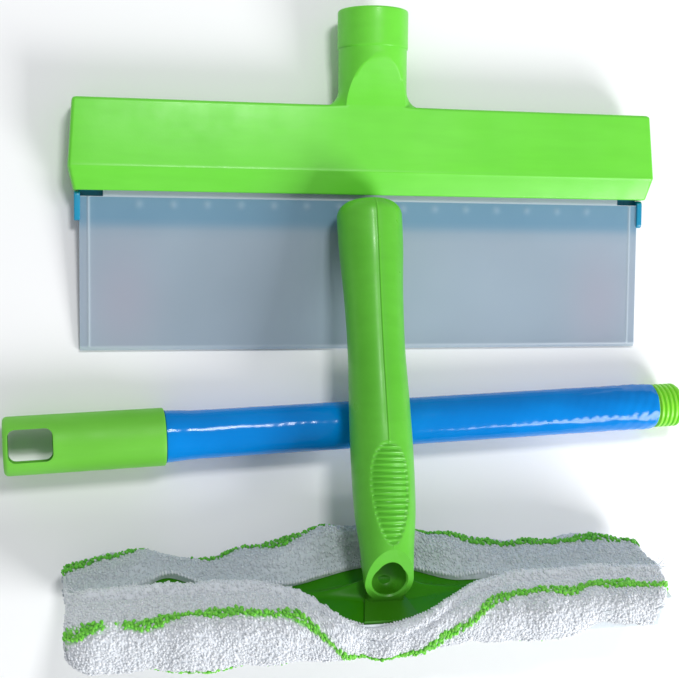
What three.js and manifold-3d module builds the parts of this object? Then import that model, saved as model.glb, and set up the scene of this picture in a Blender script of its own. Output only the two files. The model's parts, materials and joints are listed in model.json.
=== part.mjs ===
// A window-cleaning set laid out on a bench: a squeegee head that lies flat with its blade towards
// the front, a short threaded pole in front of the blade, and a T-shaped washer in a terry sleeve,
// tipped back with its handle over the pole. Millimetres. +X right, +Y away from the user, +Z up.
import * as THREE from "three";
import { mergeVertices } from "three/addons/utils/BufferGeometryUtils.js";
import Module from "manifold-3d";

const wasm = await Module();
wasm.setup();

// --- Clearances ---------------------------------------------------------------------------
const GAP = 0.3; // between two pieces that fit together
const REST_GAP = 0.5; // between two items that lie on each other
const OVERRUN = 1; // how far a cut or a joined block runs on past a face

// --- Squeegee head: X along the blade, Y from the wiping edge to the socket, Z square to it ---
const SHELL_LENGTH = 280; // over the ridge
const END_RAKE_AT_TOP = 1.8; // each end draws in towards the top edge
const END_RAKE_AT_LIP = 2.4; // and towards the lip
const END_WALL_AT_LIP = 2;
const SHELL_WALL = 2;
const LIP_AT = 72; // from the wiping edge
const LIP_BAND = 1; // the lip's straight mouth
const RIDGE_AT = 82.5;
const TOP_AT = 113;
const RIDGE_THICKNESS = 18;
const TOP_THICKNESS = 15;
const TOP_CHAMFER = 1.6;
const SOCKET_END_AT = 157.5;
const SOCKET_DIAMETER = 32;
const COLLAR_DIAMETER = 33;
const COLLAR_LENGTH = 17.5;
const COLLAR_CHAMFER = 1;
const SOCKET_FLOOR_AT = 128; // bottom of the full bore
const SOCKET_CONE_DEPTH = 9;
const SOCKET_CONE_RADIUS = 5;
const FACET_APEX_AT = 135; // where the flat web reaches the top of the socket
const SOCKET_FILLET = 8;
const THREAD_CLEARANCE = 0.5;

// --- Blade and its holder -----------------------------------------------------------------
const BLADE_THICKNESS = 2.6;
const BLADE_BEVEL = 1.5;
const WIPING_EDGE_THICKNESS = 1;
const SHOULDER_AT = 69.5; // where the blade narrows to its tongue
const TONGUE_SETBACK = 10.5; // on each side
const HOLDER_WALL = 1.8;
const HOLDER_EDGE_AT = 58.5;
const HOLDER_BACK_AT = 103.6;
const FRONT_LEG_AT = 78;
const TAB_THICKNESS = 2;
const TAB_RISE = 1.1; // above the blade's face
const PEG_DIAMETER = 3.6;
const PEG_PITCH = 15.5;
const PEG_AT = 66;
const PEG_SIDES = 10;

// --- Pole: X along its axis, from the hanging cap's end to the thread's end -----------------
const FILM_DIAMETER = 22;
const FILM_THICKNESS = 0.4;
const TUBE_WALL = 0.8;
const TUBE_LENGTH = 269.5;
const CAP_LENGTH = 70;
const CAP_WALL = 1.7; // round the film
const CAP_GRIP_DEPTH = 32; // how far the tube goes in
const CAP_END_WALL = 2;
const CAP_EDGE = 2.5;
const CAP_MOUTH_CHAMFER = 0.8;
const CAP_STEP = 1.5; // the ledge that stops the tube
const HANG_HOLE_LENGTH = 19.2;
const HANG_HOLE_WIDTH = 14.4;
const HANG_HOLE_CORNER = 3;
const THREAD_DIAMETER = 21;
const THREAD_LENGTH = 14;
const THREAD_PITCH = 2.4;
const THREAD_DEPTH = 0.9;
const THREAD_FLANK = 0.3; // share of the pitch that a slope takes, and the crest too
const THREAD_END_CHAMFER = 1;
const PLUG_LENGTH = 22;
const PLUG_BORE = 12;
const PLUG_END_WALL = 5;

// --- Washer: origin on the bar's top face, Y across the bar, Z square to it ------------------
const BAR_LENGTH = 254;
const BAR_WIDTH = 50;
const BAR_HEIGHT = 9;
const BAR_WALL = 2.5;
const BAR_CORNER = 6;
const HANDLE_ANGLE = 52; // degrees between the handle and the bar's face
const HANDLE_LENGTH = 170;
const HANDLE_START = 9; // how far the handle's root runs on past the hole's centre
const HANDLE_RADII = [[0, 11], [14, 12], [26, 13.3], [48, 14], [75, 13.7], [103, 13], [128, 13.6],
  [150, 14.8], [163, 15]]; // distance along the axis and radius
const HANDLE_END_ROUND = 7;
const HANDLE_ROOT_CHAMFER = 3.3;
const HOLE_CENTRE_Y = -9.7; // of the round opening above the bar
const HOLE_CENTRE_Z = 12.2;
const HOLE_DIAMETER = 15.5;
const HANDLE_FACE_Y = -11.5; // the flat front of the handle's foot
const HANDLE_END_WALL = 9;
const NECK_WIDTH = 18.6;
const NECK_BACK_Y = 4;
const FOOT_THICKNESS = 1.5;
const FOOT_FRONT_WIDTH = 28;
const FOOT_FRONT_INSET = 0.6; // behind the bar's front edge
const POST_DIAMETER = 5;
const POST_SPACING = 10;
const POST_Y = -4;
const POST_LENGTH = 4;

// --- Washing sleeve -------------------------------------------------------------------------
const SLEEVE_LENGTH = 273;
const SLEEVE_WIDTH = 60;
const SLEEVE_OVER_BAR = 7; // thickness of terry on the bar's face
const SLEEVE_UNDER_BAR = 12; // and under the bar
const SLEEVE_ROUND = 9;
const SLEEVE_END_ROUND = 6;
const SLIT_LENGTH = 210;
const SLIT_WIDTH = 2;
const SLIT_Y = 2;
const MOUTH = [[-38, SLIT_Y], [-4, -23], [50, SLIT_Y], [4, 15]]; // the gap round the handle's neck

// --- Where the three items lie --------------------------------------------------------------
const HEAD_X = 1;
const POLE_START = [-167.5, -42.1];
const POLE_YAW = 2.28; // degrees
const WASHER_X = -4;
const HANDLE_END_Y = 66; // where the handle's far end comes to, over the blade
const SHALLOWEST_LEAN = 30; // degrees, the range that the washer's lean is looked for in
const STEEPEST_LEAN = 85;

const ROUND = 40; // facets round a turned piece
const PROFILE_STEPS = 18; // along the handle
const BISECTIONS = 30; // of the lean, down to a millionth of a degree
const BEYOND = 400; // longer than any piece, for cutting blocks

const GREEN = { color: 0x6fd03a, roughness: 0.42, metalness: 0 };
const DARK_GREEN = { color: 0x2f8a12, roughness: 0.4, metalness: 0 };
const CAP_GREEN = { color: 0x66b83c, roughness: 0.5, metalness: 0 };
const BLUE = { color: 0x1790c8, roughness: 0.35, metalness: 0 };
const FILM_BLUE = { color: 0x0a7fd0, roughness: 0.2, metalness: 0 };
const STEEL = { color: 0xb8bcc0, roughness: 0.35, metalness: 0.9 };
const SILICONE = { color: 0xb9c2cc, roughness: 0.45, metalness: 0, transparent: true, opacity: 0.75 };
const TERRY = { color: 0xeef0f6, roughness: 0.95, metalness: 0 };

const radians = THREE.MathUtils.degToRad;

// --- Making solids --------------------------------------------------------------------------

/** A closed geometry as a manifold solid. */
function solidOf(geometry) {
  geometry.deleteAttribute("normal");
  geometry.deleteAttribute("uv");
  const merged = mergeVertices(geometry, 1e-4);
  const mesh = new wasm.Mesh({
    numProp: 3,
    vertProperties: merged.attributes.position.array,
    triVerts: new Uint32Array(merged.index.array),
  });
  return new wasm.Manifold(mesh);
}

/** A manifold solid as a named mesh with its own material. */
function piece(name, solid, finish) {
  const mesh = solid.getMesh();
  const geometry = new THREE.BufferGeometry();
  geometry.setAttribute("position", new THREE.BufferAttribute(mesh.vertProperties, 3));
  geometry.setIndex(new THREE.BufferAttribute(mesh.triVerts, 1));
  geometry.computeVertexNormals();
  const made = new THREE.Mesh(geometry, new THREE.MeshStandardMaterial(finish));
  made.name = name;
  return made;
}

/** A closed outline of [x, y] points as a shape. */
function outline(points) {
  return new THREE.Shape(points.map(([x, y]) => new THREE.Vector2(x, y)));
}

/** A rectangle with round corners, centred on (x, y). */
function roundedRectangle(x, y, width, height, radius) {
  const shape = new THREE.Shape();
  const [left, right] = [x - width / 2, x + width / 2];
  const [low, high] = [y - height / 2, y + height / 2];
  shape.moveTo(left + radius, low);
  shape.lineTo(right - radius, low);
  shape.absarc(right - radius, low + radius, radius, -Math.PI / 2, 0);
  shape.lineTo(right, high - radius);
  shape.absarc(right - radius, high - radius, radius, 0, Math.PI / 2);
  shape.lineTo(left + radius, high);
  shape.absarc(left + radius, high - radius, radius, Math.PI / 2, Math.PI);
  shape.lineTo(left, low + radius);
  shape.absarc(left + radius, low + radius, radius, Math.PI, Math.PI * 1.5);
  return shape;
}

/** A shape in X and Y carried up from one height to another. */
function prismUp(shape, from, to, curveSegments = 4) {
  const options = { depth: to - from, bevelEnabled: false, curveSegments };
  return solidOf(new THREE.ExtrudeGeometry(shape, options).translate(0, 0, from));
}

/** A shape in Y and Z carried along X, to the same length on each side of the middle. */
function prismAcross(shape, length, options = {}) {
  const settings = { depth: length, bevelEnabled: false, curveSegments: 4, ...options };
  const geometry = new THREE.ExtrudeGeometry(shape, settings).translate(0, 0, -length / 2);
  const turned = new THREE.Matrix4().makeBasis(
    new THREE.Vector3(0, 1, 0), new THREE.Vector3(0, 0, 1), new THREE.Vector3(1, 0, 0));
  return solidOf(geometry.applyMatrix4(turned));
}

/** A block between two corners. */
function block([x0, y0, z0], [x1, y1, z1]) {
  const geometry = new THREE.BoxGeometry(x1 - x0, y1 - y0, z1 - z0);
  return solidOf(geometry.translate((x0 + x1) / 2, (y0 + y1) / 2, (z0 + z1) / 2));
}

/** A profile of [radius, height] points turned about the Y axis. */
function turned(profile, sides = ROUND) {
  const points = profile.map(([radius, height]) => new THREE.Vector2(radius, height));
  return new THREE.LatheGeometry(points, sides);
}

/** The same profile turned about the X axis, for the pole's pieces. */
function turnedAlongX(profile) {
  return solidOf(turned(profile).rotateZ(-Math.PI / 2));
}

/** A ring profile between two radii and two heights, closed on itself. */
function ring(inner, outer, from, to) {
  return [[inner, from], [outer, from], [outer, to], [inner, to], [inner, from]];
}

/** A rod profile from one height to another. */
function rod(radius, from, to) {
  return [[0, from], [radius, from], [radius, to], [0, to]];
}

// --- Squeegee head --------------------------------------------------------------------------

const HOLDER_HALF_HEIGHT = BLADE_THICKNESS / 2 + GAP + HOLDER_WALL;
const LIP_HALF_HEIGHT = HOLDER_HALF_HEIGHT + GAP + SHELL_WALL;
const CAVITY_HALF_LENGTH = SHELL_LENGTH / 2 - END_RAKE_AT_LIP - END_WALL_AT_LIP;
const HOLDER_HALF_LENGTH = CAVITY_HALF_LENGTH - GAP;
const BLADE_HALF_WIDTH = HOLDER_HALF_LENGTH - GAP;
const TONGUE_HALF_WIDTH = BLADE_HALF_WIDTH - TONGUE_SETBACK;
const PEGS_EACH_SIDE = Math.floor((TONGUE_HALF_WIDTH - PEG_DIAMETER / 2) / PEG_PITCH);
const FACET_SLOPE = (SOCKET_DIAMETER - TOP_THICKNESS) / 2 / (FACET_APEX_AT - TOP_AT);

/** The places of the pegs along the blade, from end to end. */
function pegPlaces() {
  const places = [];
  for (let i = -PEGS_EACH_SIDE; i <= PEGS_EACH_SIDE; i += 1) places.push(i * PEG_PITCH);
  return places;
}

/** A post or hole that stands square to the blade at each peg. */
function pegRow(diameter, from, to) {
  const pegs = pegPlaces().map((x) => {
    const peg = turned(rod(diameter / 2, from, to), PEG_SIDES).rotateX(Math.PI / 2);
    return solidOf(peg.translate(x, PEG_AT, 0));
  });
  return wasm.Manifold.union(pegs);
}

/** A section of [y, half height] steps, the same above and below the blade's plane. */
function mirroredSection(steps) {
  const above = steps.map(([y, z]) => [y, z]);
  const below = steps.map(([y, z]) => [y, -z]).reverse();
  return outline([...below, ...above].reverse());
}

/** The hollow wedge that covers the blade's back, open along its lip. */
function shellBody() {
  const half = TOP_THICKNESS / 2;
  const outside = mirroredSection([[LIP_AT, LIP_HALF_HEIGHT], [RIDGE_AT, RIDGE_THICKNESS / 2],
    [TOP_AT - TOP_CHAMFER, half], [TOP_AT, half - TOP_CHAMFER]]);
  const inside = mirroredSection([[LIP_AT - OVERRUN, LIP_HALF_HEIGHT - SHELL_WALL],
    [LIP_AT + LIP_BAND, LIP_HALF_HEIGHT - SHELL_WALL],
    [RIDGE_AT, RIDGE_THICKNESS / 2 - SHELL_WALL], [TOP_AT - SHELL_WALL, half - SHELL_WALL]]);
  const end = SHELL_LENGTH / 2;
  const plan = outline([[-end + END_RAKE_AT_LIP, LIP_AT], [end - END_RAKE_AT_LIP, LIP_AT],
    [end, RIDGE_AT], [end - END_RAKE_AT_TOP, TOP_AT], [-end + END_RAKE_AT_TOP, TOP_AT],
    [-end, RIDGE_AT]]);
  return prismAcross(outside, BEYOND)
    .intersect(prismUp(plan, -RIDGE_THICKNESS, RIDGE_THICKNESS))
    .subtract(prismAcross(inside, CAVITY_HALF_LENGTH * 2));
}

/** The pole's socket with its collar, cut by a sloping flat on each face. */
function socketBarrel() {
  const [radius, collar] = [SOCKET_DIAMETER / 2, COLLAR_DIAMETER / 2];
  const collarStart = SOCKET_END_AT - COLLAR_LENGTH;
  const barrel = solidOf(turned([[0, TOP_AT - SHELL_WALL], [radius, TOP_AT - SHELL_WALL],
    [radius, collarStart - COLLAR_CHAMFER], [collar, collarStart],
    [collar, SOCKET_END_AT - COLLAR_CHAMFER], [collar - COLLAR_CHAMFER, SOCKET_END_AT],
    [0, SOCKET_END_AT]]));
  const faceAt = (y) => TOP_THICKNESS / 2 + (y - TOP_AT) * FACET_SLOPE;
  const above = outline([[TOP_AT - SHELL_WALL * 2, faceAt(TOP_AT - SHELL_WALL * 2)],
    [FACET_APEX_AT, faceAt(FACET_APEX_AT)], [FACET_APEX_AT, radius * 2],
    [TOP_AT - SHELL_WALL * 2, radius * 2]]);
  const wedge = prismAcross(above, SOCKET_DIAMETER * 2);
  return barrel.subtract(wedge).subtract(wedge.mirror([0, 0, 1]));
}

/** The curved webs that spread the socket's sides into the shell's top edge. */
function socketFillets() {
  const [foot, radius] = [SOCKET_DIAMETER / 2 + SOCKET_FILLET, SOCKET_FILLET];
  const shape = new THREE.Shape();
  shape.moveTo(-foot, TOP_AT - SHELL_WALL / 2);
  shape.lineTo(foot, TOP_AT - SHELL_WALL / 2);
  shape.lineTo(foot, TOP_AT);
  shape.absarc(foot, TOP_AT + radius, radius, Math.PI * 1.5, Math.PI, true);
  shape.lineTo(radius - foot, TOP_AT + radius);
  shape.absarc(-foot, TOP_AT + radius, radius, 0, -Math.PI / 2, true);
  const half = TOP_THICKNESS / 2 - TOP_CHAMFER;
  return prismUp(shape, -half, half, 5);
}

/** The space that the pole's thread screws into, with its grooves. */
function socketBore() {
  const bore = THREAD_DIAMETER / 2 + THREAD_CLEARANCE;
  const grooves = Math.floor(THREAD_LENGTH / THREAD_PITCH);
  const first = SOCKET_END_AT - COLLAR_CHAMFER - grooves * THREAD_PITCH;
  const profile = [[0, SOCKET_FLOOR_AT - SOCKET_CONE_DEPTH],
    [SOCKET_CONE_RADIUS, SOCKET_FLOOR_AT - SOCKET_CONE_DEPTH], [bore, SOCKET_FLOOR_AT]];
  for (let i = 0; i < grooves; i += 1) {
    const start = first + i * THREAD_PITCH;
    profile.push([bore, start], [bore + THREAD_DEPTH, start + THREAD_PITCH / 2]);
  }
  profile.push([bore, SOCKET_END_AT - COLLAR_CHAMFER], [bore, SOCKET_END_AT + OVERRUN],
    [0, SOCKET_END_AT + OVERRUN]);
  return solidOf(turned(profile));
}

function headShell() {
  const solid = shellBody().add(socketBarrel()).add(socketFillets()).subtract(socketBore());
  return piece("head_shell", solid, GREEN);
}

/** The silicone blade: full width below the lip, then a narrower tongue inside the holder. */
function wiperBlade() {
  const [half, wide, tongue] = [BLADE_THICKNESS / 2, BLADE_HALF_WIDTH, TONGUE_HALF_WIDTH];
  const back = HOLDER_BACK_AT - HOLDER_WALL - GAP;
  const plan = outline([[-wide, 0], [wide, 0], [wide, SHOULDER_AT], [tongue, SHOULDER_AT],
    [tongue, back], [-tongue, back], [-tongue, SHOULDER_AT], [-wide, SHOULDER_AT]]);
  const section = mirroredSection([[0, WIPING_EDGE_THICKNESS / 2], [BLADE_BEVEL, half],
    [back, half]]);
  const solid = prismUp(plan, -BLADE_THICKNESS, BLADE_THICKNESS)
    .intersect(prismAcross(section, BEYOND))
    .subtract(pegRow(PEG_DIAMETER + GAP * 2, -BLADE_THICKNESS, BLADE_THICKNESS));
  return piece("wiper_blade", solid, SILICONE);
}

/** The blue channel that holds the blade: a back leg with pegs, a front leg and end tabs. */
function bladeHolder() {
  const [near, far] = [BLADE_THICKNESS / 2 + GAP, HOLDER_HALF_HEIGHT];
  const end = HOLDER_HALF_LENGTH;
  const tabBack = LIP_AT - GAP;
  let solid = block([-end, HOLDER_EDGE_AT, -far], [end, HOLDER_BACK_AT, -near])
    .add(block([-end, HOLDER_BACK_AT - HOLDER_WALL, -far], [end, HOLDER_BACK_AT, far]))
    .add(block([-end, FRONT_LEG_AT, near], [end, HOLDER_BACK_AT, far]))
    .add(pegRow(PEG_DIAMETER, -near - HOLDER_WALL / 2, BLADE_THICKNESS / 2));
  for (const side of [-1, 1]) {
    const [inner, outer] = [side * end, side * (end + TAB_THICKNESS)];
    const low = Math.min(inner, outer);
    const high = Math.max(inner, outer);
    const overlap = side > 0 ? [low - OVERRUN, high] : [low, high + OVERRUN];
    solid = solid
      .add(block([low, HOLDER_EDGE_AT, -far], [high, tabBack, BLADE_THICKNESS / 2 + TAB_RISE]))
      .add(block([overlap[0], HOLDER_EDGE_AT, -far], [overlap[1], tabBack, -near]));
  }
  return piece("blade_holder", solid, BLUE);
}

/** The head on its back: it rests on the wiping edge and on the ridge or the collar. */
function squeegeeHead() {
  const edge = BLADE_THICKNESS / 2;
  const overRidge = Math.atan2(RIDGE_THICKNESS / 2 - edge, RIDGE_AT - BLADE_BEVEL);
  const overCollar = Math.atan2(COLLAR_DIAMETER / 2 - edge,
    SOCKET_END_AT - COLLAR_LENGTH - BLADE_BEVEL);
  const head = new THREE.Group();
  head.add(headShell(), bladeHolder(), wiperBlade());
  head.rotation.x = Math.max(overRidge, overCollar);
  head.position.set(HEAD_X, 0,
    edge * Math.cos(head.rotation.x) - BLADE_BEVEL * Math.sin(head.rotation.x));
  return head;
}

// --- Pole -----------------------------------------------------------------------------------

const FILM_RADIUS = FILM_DIAMETER / 2;
const CAP_DIAMETER = FILM_DIAMETER + (GAP + CAP_WALL) * 2;
const TUBE_RADIUS = FILM_RADIUS - FILM_THICKNESS - GAP;
const TUBE_START = CAP_LENGTH - CAP_GRIP_DEPTH;
const TUBE_END = TUBE_START + TUBE_LENGTH;

/** The plain steel tube. */
function poleTube() {
  const profile = ring(TUBE_RADIUS - TUBE_WALL, TUBE_RADIUS, TUBE_START, TUBE_END);
  return piece("pole_tube", turnedAlongX(profile), STEEL);
}

/** The plastic film shrunk over the tube. */
function poleFilm() {
  const profile = ring(FILM_RADIUS - FILM_THICKNESS, FILM_RADIUS, TUBE_START, TUBE_END);
  return piece("pole_film", turnedAlongX(profile), FILM_BLUE);
}

/** The cap over the pole's end: a hollow cup with a slot across it to hang the pole by. */
function hangCap() {
  const [outer, grip] = [CAP_DIAMETER / 2, FILM_RADIUS + GAP];
  const ledge = TUBE_START - GAP;
  const cup = turnedAlongX([[0, 0], [outer - CAP_EDGE, 0], [outer, CAP_EDGE],
    [outer, CAP_LENGTH - CAP_MOUTH_CHAMFER], [outer - CAP_MOUTH_CHAMFER, CAP_LENGTH],
    [grip, CAP_LENGTH], [grip, ledge],
    [grip - CAP_STEP, ledge], [grip - CAP_STEP, CAP_EDGE * 2], [grip - CAP_STEP - CAP_EDGE,
      CAP_END_WALL], [0, CAP_END_WALL]]);
  const slot = roundedRectangle(CAP_END_WALL + HANG_HOLE_LENGTH / 2, 0, HANG_HOLE_LENGTH,
    HANG_HOLE_WIDTH, HANG_HOLE_CORNER);
  return piece("hang_cap", cup.subtract(prismUp(slot, -CAP_DIAMETER, CAP_DIAMETER)), CAP_GREEN);
}

/** The threaded plug that is pressed into the tube's other end. */
function threadedTip() {
  const plug = TUBE_RADIUS - TUBE_WALL - GAP;
  const [crest, root] = [THREAD_DIAMETER / 2, THREAD_DIAMETER / 2 - THREAD_DEPTH];
  const start = TUBE_END + GAP;
  const end = start + THREAD_LENGTH;
  const profile = [[0, end - PLUG_END_WALL], [PLUG_BORE / 2, end - PLUG_END_WALL],
    [PLUG_BORE / 2, TUBE_END - PLUG_LENGTH], [plug, TUBE_END - PLUG_LENGTH], [plug, start],
    [root, start]];
  const ridges = Math.floor(THREAD_LENGTH / THREAD_PITCH);
  for (let i = 0; i < ridges; i += 1) {
    const at = start + i * THREAD_PITCH;
    profile.push([crest, at + THREAD_PITCH * THREAD_FLANK],
      [crest, at + THREAD_PITCH * THREAD_FLANK * 2], [root, at + THREAD_PITCH * THREAD_FLANK * 3]);
  }
  profile.push([root, end - THREAD_END_CHAMFER], [root - THREAD_END_CHAMFER, end], [0, end]);
  return piece("threaded_tip", turnedAlongX(profile), GREEN);
}

/** The pole on the bench, on its cap at one end and on its tube at the other. */
function pole() {
  const group = new THREE.Group();
  group.add(poleTube(), poleFilm(), hangCap(), threadedTip());
  const fall = Math.atan2(CAP_DIAMETER / 2 - FILM_RADIUS, TUBE_END - CAP_LENGTH);
  group.rotation.set(0, fall, radians(POLE_YAW), "ZYX");
  const height = FILM_RADIUS * Math.cos(fall) + TUBE_END * Math.sin(fall);
  group.position.set(POLE_START[0], POLE_START[1], height);
  return group;
}

// --- Washer ---------------------------------------------------------------------------------

/** The handle's outer profile from its root to its blunt far end. */
function handleProfile() {
  const curve = new THREE.SplineCurve(HANDLE_RADII.map(([u, r]) => new THREE.Vector2(r, u)));
  const [, farRadius] = HANDLE_RADII.at(-1);
  const sides = curve.getPoints(PROFILE_STEPS).filter((p) => p.y < HANDLE_LENGTH - HANDLE_END_ROUND);
  const round = [0, 0.25, 0.5, 0.75, 1].map((t) => {
    const angle = (t * Math.PI) / 2;
    return [farRadius - HANDLE_END_ROUND * (1 - Math.cos(angle)),
      HANDLE_LENGTH - HANDLE_END_ROUND * (1 - Math.sin(angle))];
  });
  const [, rootRadius] = HANDLE_RADII[0];
  return [[0, -HANDLE_START], [rootRadius - HANDLE_ROOT_CHAMFER, -HANDLE_START],
    ...sides.map((p) => [p.x, p.y]), ...round, [0, HANDLE_LENGTH]];
}

/** A turned solid laid along the handle's axis. */
function alongHandle(profile) {
  return solidOf(turned(profile).rotateX(radians(HANDLE_ANGLE))
    .translate(0, HOLE_CENTRE_Y, HOLE_CENTRE_Z));
}

/** The posts that pass through the bar, or the holes that they pass through. */
function posts(diameter, from, to) {
  const two = [-POST_SPACING / 2, POST_SPACING / 2].map((x) => {
    const post = turned(rod(diameter / 2, from, to), PEG_SIDES).rotateX(Math.PI / 2);
    return solidOf(post.translate(x, POST_Y, 0));
  });
  return two[0].add(two[1]);
}

/** The hollow grip, its short neck, its spreading foot and the round opening at its root. */
function washerHandle() {
  const bore = HOLE_DIAMETER / 2;
  const half = NECK_WIDTH / 2;
  const front = FOOT_FRONT_INSET - BAR_WIDTH / 2;
  const foot = outline([[-half, NECK_BACK_Y], [-half, HANDLE_FACE_Y], [-FOOT_FRONT_WIDTH / 2,
    front], [FOOT_FRONT_WIDTH / 2, front], [half, HANDLE_FACE_Y], [half, NECK_BACK_Y]]);
  const elbow = solidOf(new THREE.SphereGeometry(bore, ROUND, ROUND / 2)
    .translate(0, HOLE_CENTRE_Y, HOLE_CENTRE_Z));
  const mouth = solidOf(turned(rod(bore, HANDLE_FACE_Y - BAR_WIDTH, HOLE_CENTRE_Y))
    .translate(0, 0, HOLE_CENTRE_Z));
  const solid = alongHandle(handleProfile())
    .add(block([-half, HANDLE_FACE_Y, 0], [half, NECK_BACK_Y, HOLE_CENTRE_Z]))
    .intersect(block([-BEYOND, HANDLE_FACE_Y, GAP], [BEYOND, BEYOND, BEYOND]))
    .add(prismUp(foot, GAP, GAP + FOOT_THICKNESS))
    .subtract(alongHandle(rod(bore, 0, HANDLE_LENGTH - HANDLE_END_WALL)))
    .subtract(elbow)
    .subtract(mouth)
    .add(posts(POST_DIAMETER, -POST_LENGTH, GAP * 2));
  return piece("washer_handle", solid, GREEN);
}

/** The bar: a channel with its open side away from the handle. */
function washerBar() {
  const plan = (inset) => roundedRectangle(0, 0, BAR_LENGTH - inset * 2, BAR_WIDTH - inset * 2,
    BAR_CORNER - inset);
  const solid = prismUp(plan(0), -BAR_HEIGHT, 0)
    .subtract(prismUp(plan(BAR_WALL), -BAR_HEIGHT * 2, -BAR_WALL))
    .subtract(posts(POST_DIAMETER + GAP * 2, -BAR_HEIGHT, BAR_HEIGHT));
  return piece("washer_bar", solid, DARK_GREEN);
}

/** The terry sleeve round the bar, open along a slit that gapes at the handle. */
function washingSleeve() {
  const [top, bottom] = [SLEEVE_OVER_BAR, -BAR_HEIGHT - SLEEVE_UNDER_BAR];
  const section = roundedRectangle(0, (top + bottom) / 2, SLEEVE_WIDTH - SLEEVE_END_ROUND * 2,
    top - bottom - SLEEVE_END_ROUND * 2, SLEEVE_ROUND - SLEEVE_END_ROUND);
  const outside = prismAcross(section, SLEEVE_LENGTH - SLEEVE_END_ROUND * 2, {
    bevelEnabled: true, bevelThickness: SLEEVE_END_ROUND, bevelSize: SLEEVE_END_ROUND,
    bevelSegments: 3,
  });
  const [x, y] = [BAR_LENGTH / 2 + GAP, BAR_WIDTH / 2 + GAP];
  const pocket = block([-x, -y, -BAR_HEIGHT - GAP], [x, y, GAP]);
  const slit = block([-SLIT_LENGTH / 2, SLIT_Y - SLIT_WIDTH / 2, 0],
    [SLIT_LENGTH / 2, SLIT_Y + SLIT_WIDTH / 2, top * 2]);
  const foot = block([-FOOT_FRONT_WIDTH / 2 - GAP, -y, 0],
    [FOOT_FRONT_WIDTH / 2 + GAP, HANDLE_FACE_Y, FOOT_THICKNESS + GAP * 2]);
  const solid = outside.subtract(pocket).subtract(slit).subtract(foot)
    .subtract(prismUp(outline(MOUTH), 0, top * 2));
  return piece("washing_sleeve", solid, TERRY);
}

/** How high the bar's face stands when the sleeve's round lower edge meets the bench. */
function barHeightAt(lean) {
  const across = SLEEVE_WIDTH / 2 - SLEEVE_ROUND;
  const under = BAR_HEIGHT + SLEEVE_UNDER_BAR - SLEEVE_ROUND;
  return across * Math.sin(lean) + under * Math.cos(lean) + SLEEVE_ROUND;
}

/** The handle's radius at a distance along it, between the nearest two listed radii. */
function handleRadiusAt(distance) {
  const last = HANDLE_RADII.findIndex(([u]) => u >= distance);
  if (last < 1) return last < 0 ? HANDLE_RADII.at(-1)[1] : HANDLE_RADII[0][1];
  const [[u0, r0], [u1, r1]] = [HANDLE_RADII[last - 1], HANDLE_RADII[last]];
  return r0 + ((r1 - r0) * (distance - u0)) / (u1 - u0);
}

/** The washer's place for a lean: tipped back, with the handle's end where it has to be. */
function placeWasher(group, lean) {
  const along = HOLE_CENTRE_Y + HANDLE_LENGTH * Math.cos(radians(HANDLE_ANGLE));
  const above = HOLE_CENTRE_Z + HANDLE_LENGTH * Math.sin(radians(HANDLE_ANGLE));
  const reach = along * Math.cos(lean) + above * Math.sin(lean);
  group.rotation.x = -lean;
  group.position.set(WASHER_X, HANDLE_END_Y - reach, barHeightAt(lean));
  group.updateMatrixWorld(true);
}

/** The least room left under the handle for a lean: over the pole and over the blade. */
function roomUnder(washer, poleGroup, head, lean) {
  placeWasher(washer, lean);
  const root = new THREE.Vector3(0, HOLE_CENTRE_Y, HOLE_CENTRE_Z);
  const along = new THREE.Vector3(0, Math.cos(radians(HANDLE_ANGLE)),
    Math.sin(radians(HANDLE_ANGLE)));
  const from = root.clone().applyMatrix4(washer.matrixWorld);
  const axis = along.clone().transformDirection(washer.matrixWorld);
  const poleFrom = new THREE.Vector3().applyMatrix4(poleGroup.matrixWorld);
  const poleAxis = new THREE.Vector3(1, 0, 0).transformDirection(poleGroup.matrixWorld);
  const across = axis.clone().cross(poleAxis).normalize();
  const reach = (WASHER_X - poleFrom.x) / poleAxis.x;
  const crossing = (poleFrom.y + reach * poleAxis.y - from.y) / axis.y;
  const overPole = Math.abs(from.clone().sub(poleFrom).dot(across)) - FILM_RADIUS
    - handleRadiusAt(crossing);
  const end = HANDLE_LENGTH - HANDLE_END_ROUND;
  const low = from.clone().addScaledVector(axis, end);
  low.applyMatrix4(head.matrixWorld.clone().invert());
  return Math.min(overPole, low.z - BLADE_THICKNESS / 2 - handleRadiusAt(end));
}

/** The washer, tipped back until its handle rests on the pole or on the blade. */
function washer(poleGroup, head) {
  const group = new THREE.Group();
  group.add(washerHandle(), washerBar(), washingSleeve());
  poleGroup.updateMatrixWorld(true);
  head.updateMatrixWorld(true);
  let [shallow, steep] = [radians(SHALLOWEST_LEAN), radians(STEEPEST_LEAN)];
  for (let i = 0; i < BISECTIONS; i += 1) {
    const middle = (shallow + steep) / 2;
    if (roomUnder(group, poleGroup, head, middle) > REST_GAP) shallow = middle;
    else steep = middle;
  }
  placeWasher(group, shallow);
  return group;
}

// --- The set, stood on the bench about its own middle -----------------------------------------

const head = squeegeeHead();
const shortPole = pole();
const set = new THREE.Group();
set.add(head, shortPole, washer(shortPole, head));
set.updateMatrixWorld(true);
const box = new THREE.Box3().setFromObject(set, true);
set.position.set(-(box.min.x + box.max.x) / 2, -(box.min.y + box.max.y) / 2, -box.min.z);

export default set;
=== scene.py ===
"""A window-cleaning set on a pale bench: a squeegee head, a short pole and a T-shaped washer.

Each item is a class. Its sizes are in millimetres in the item's own axes, and Place.world turns
them into metres of the frame, so every new mesh holds its own place.
"""
import json
import logging
import math
from dataclasses import dataclass, field
from enum import Enum

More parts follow.
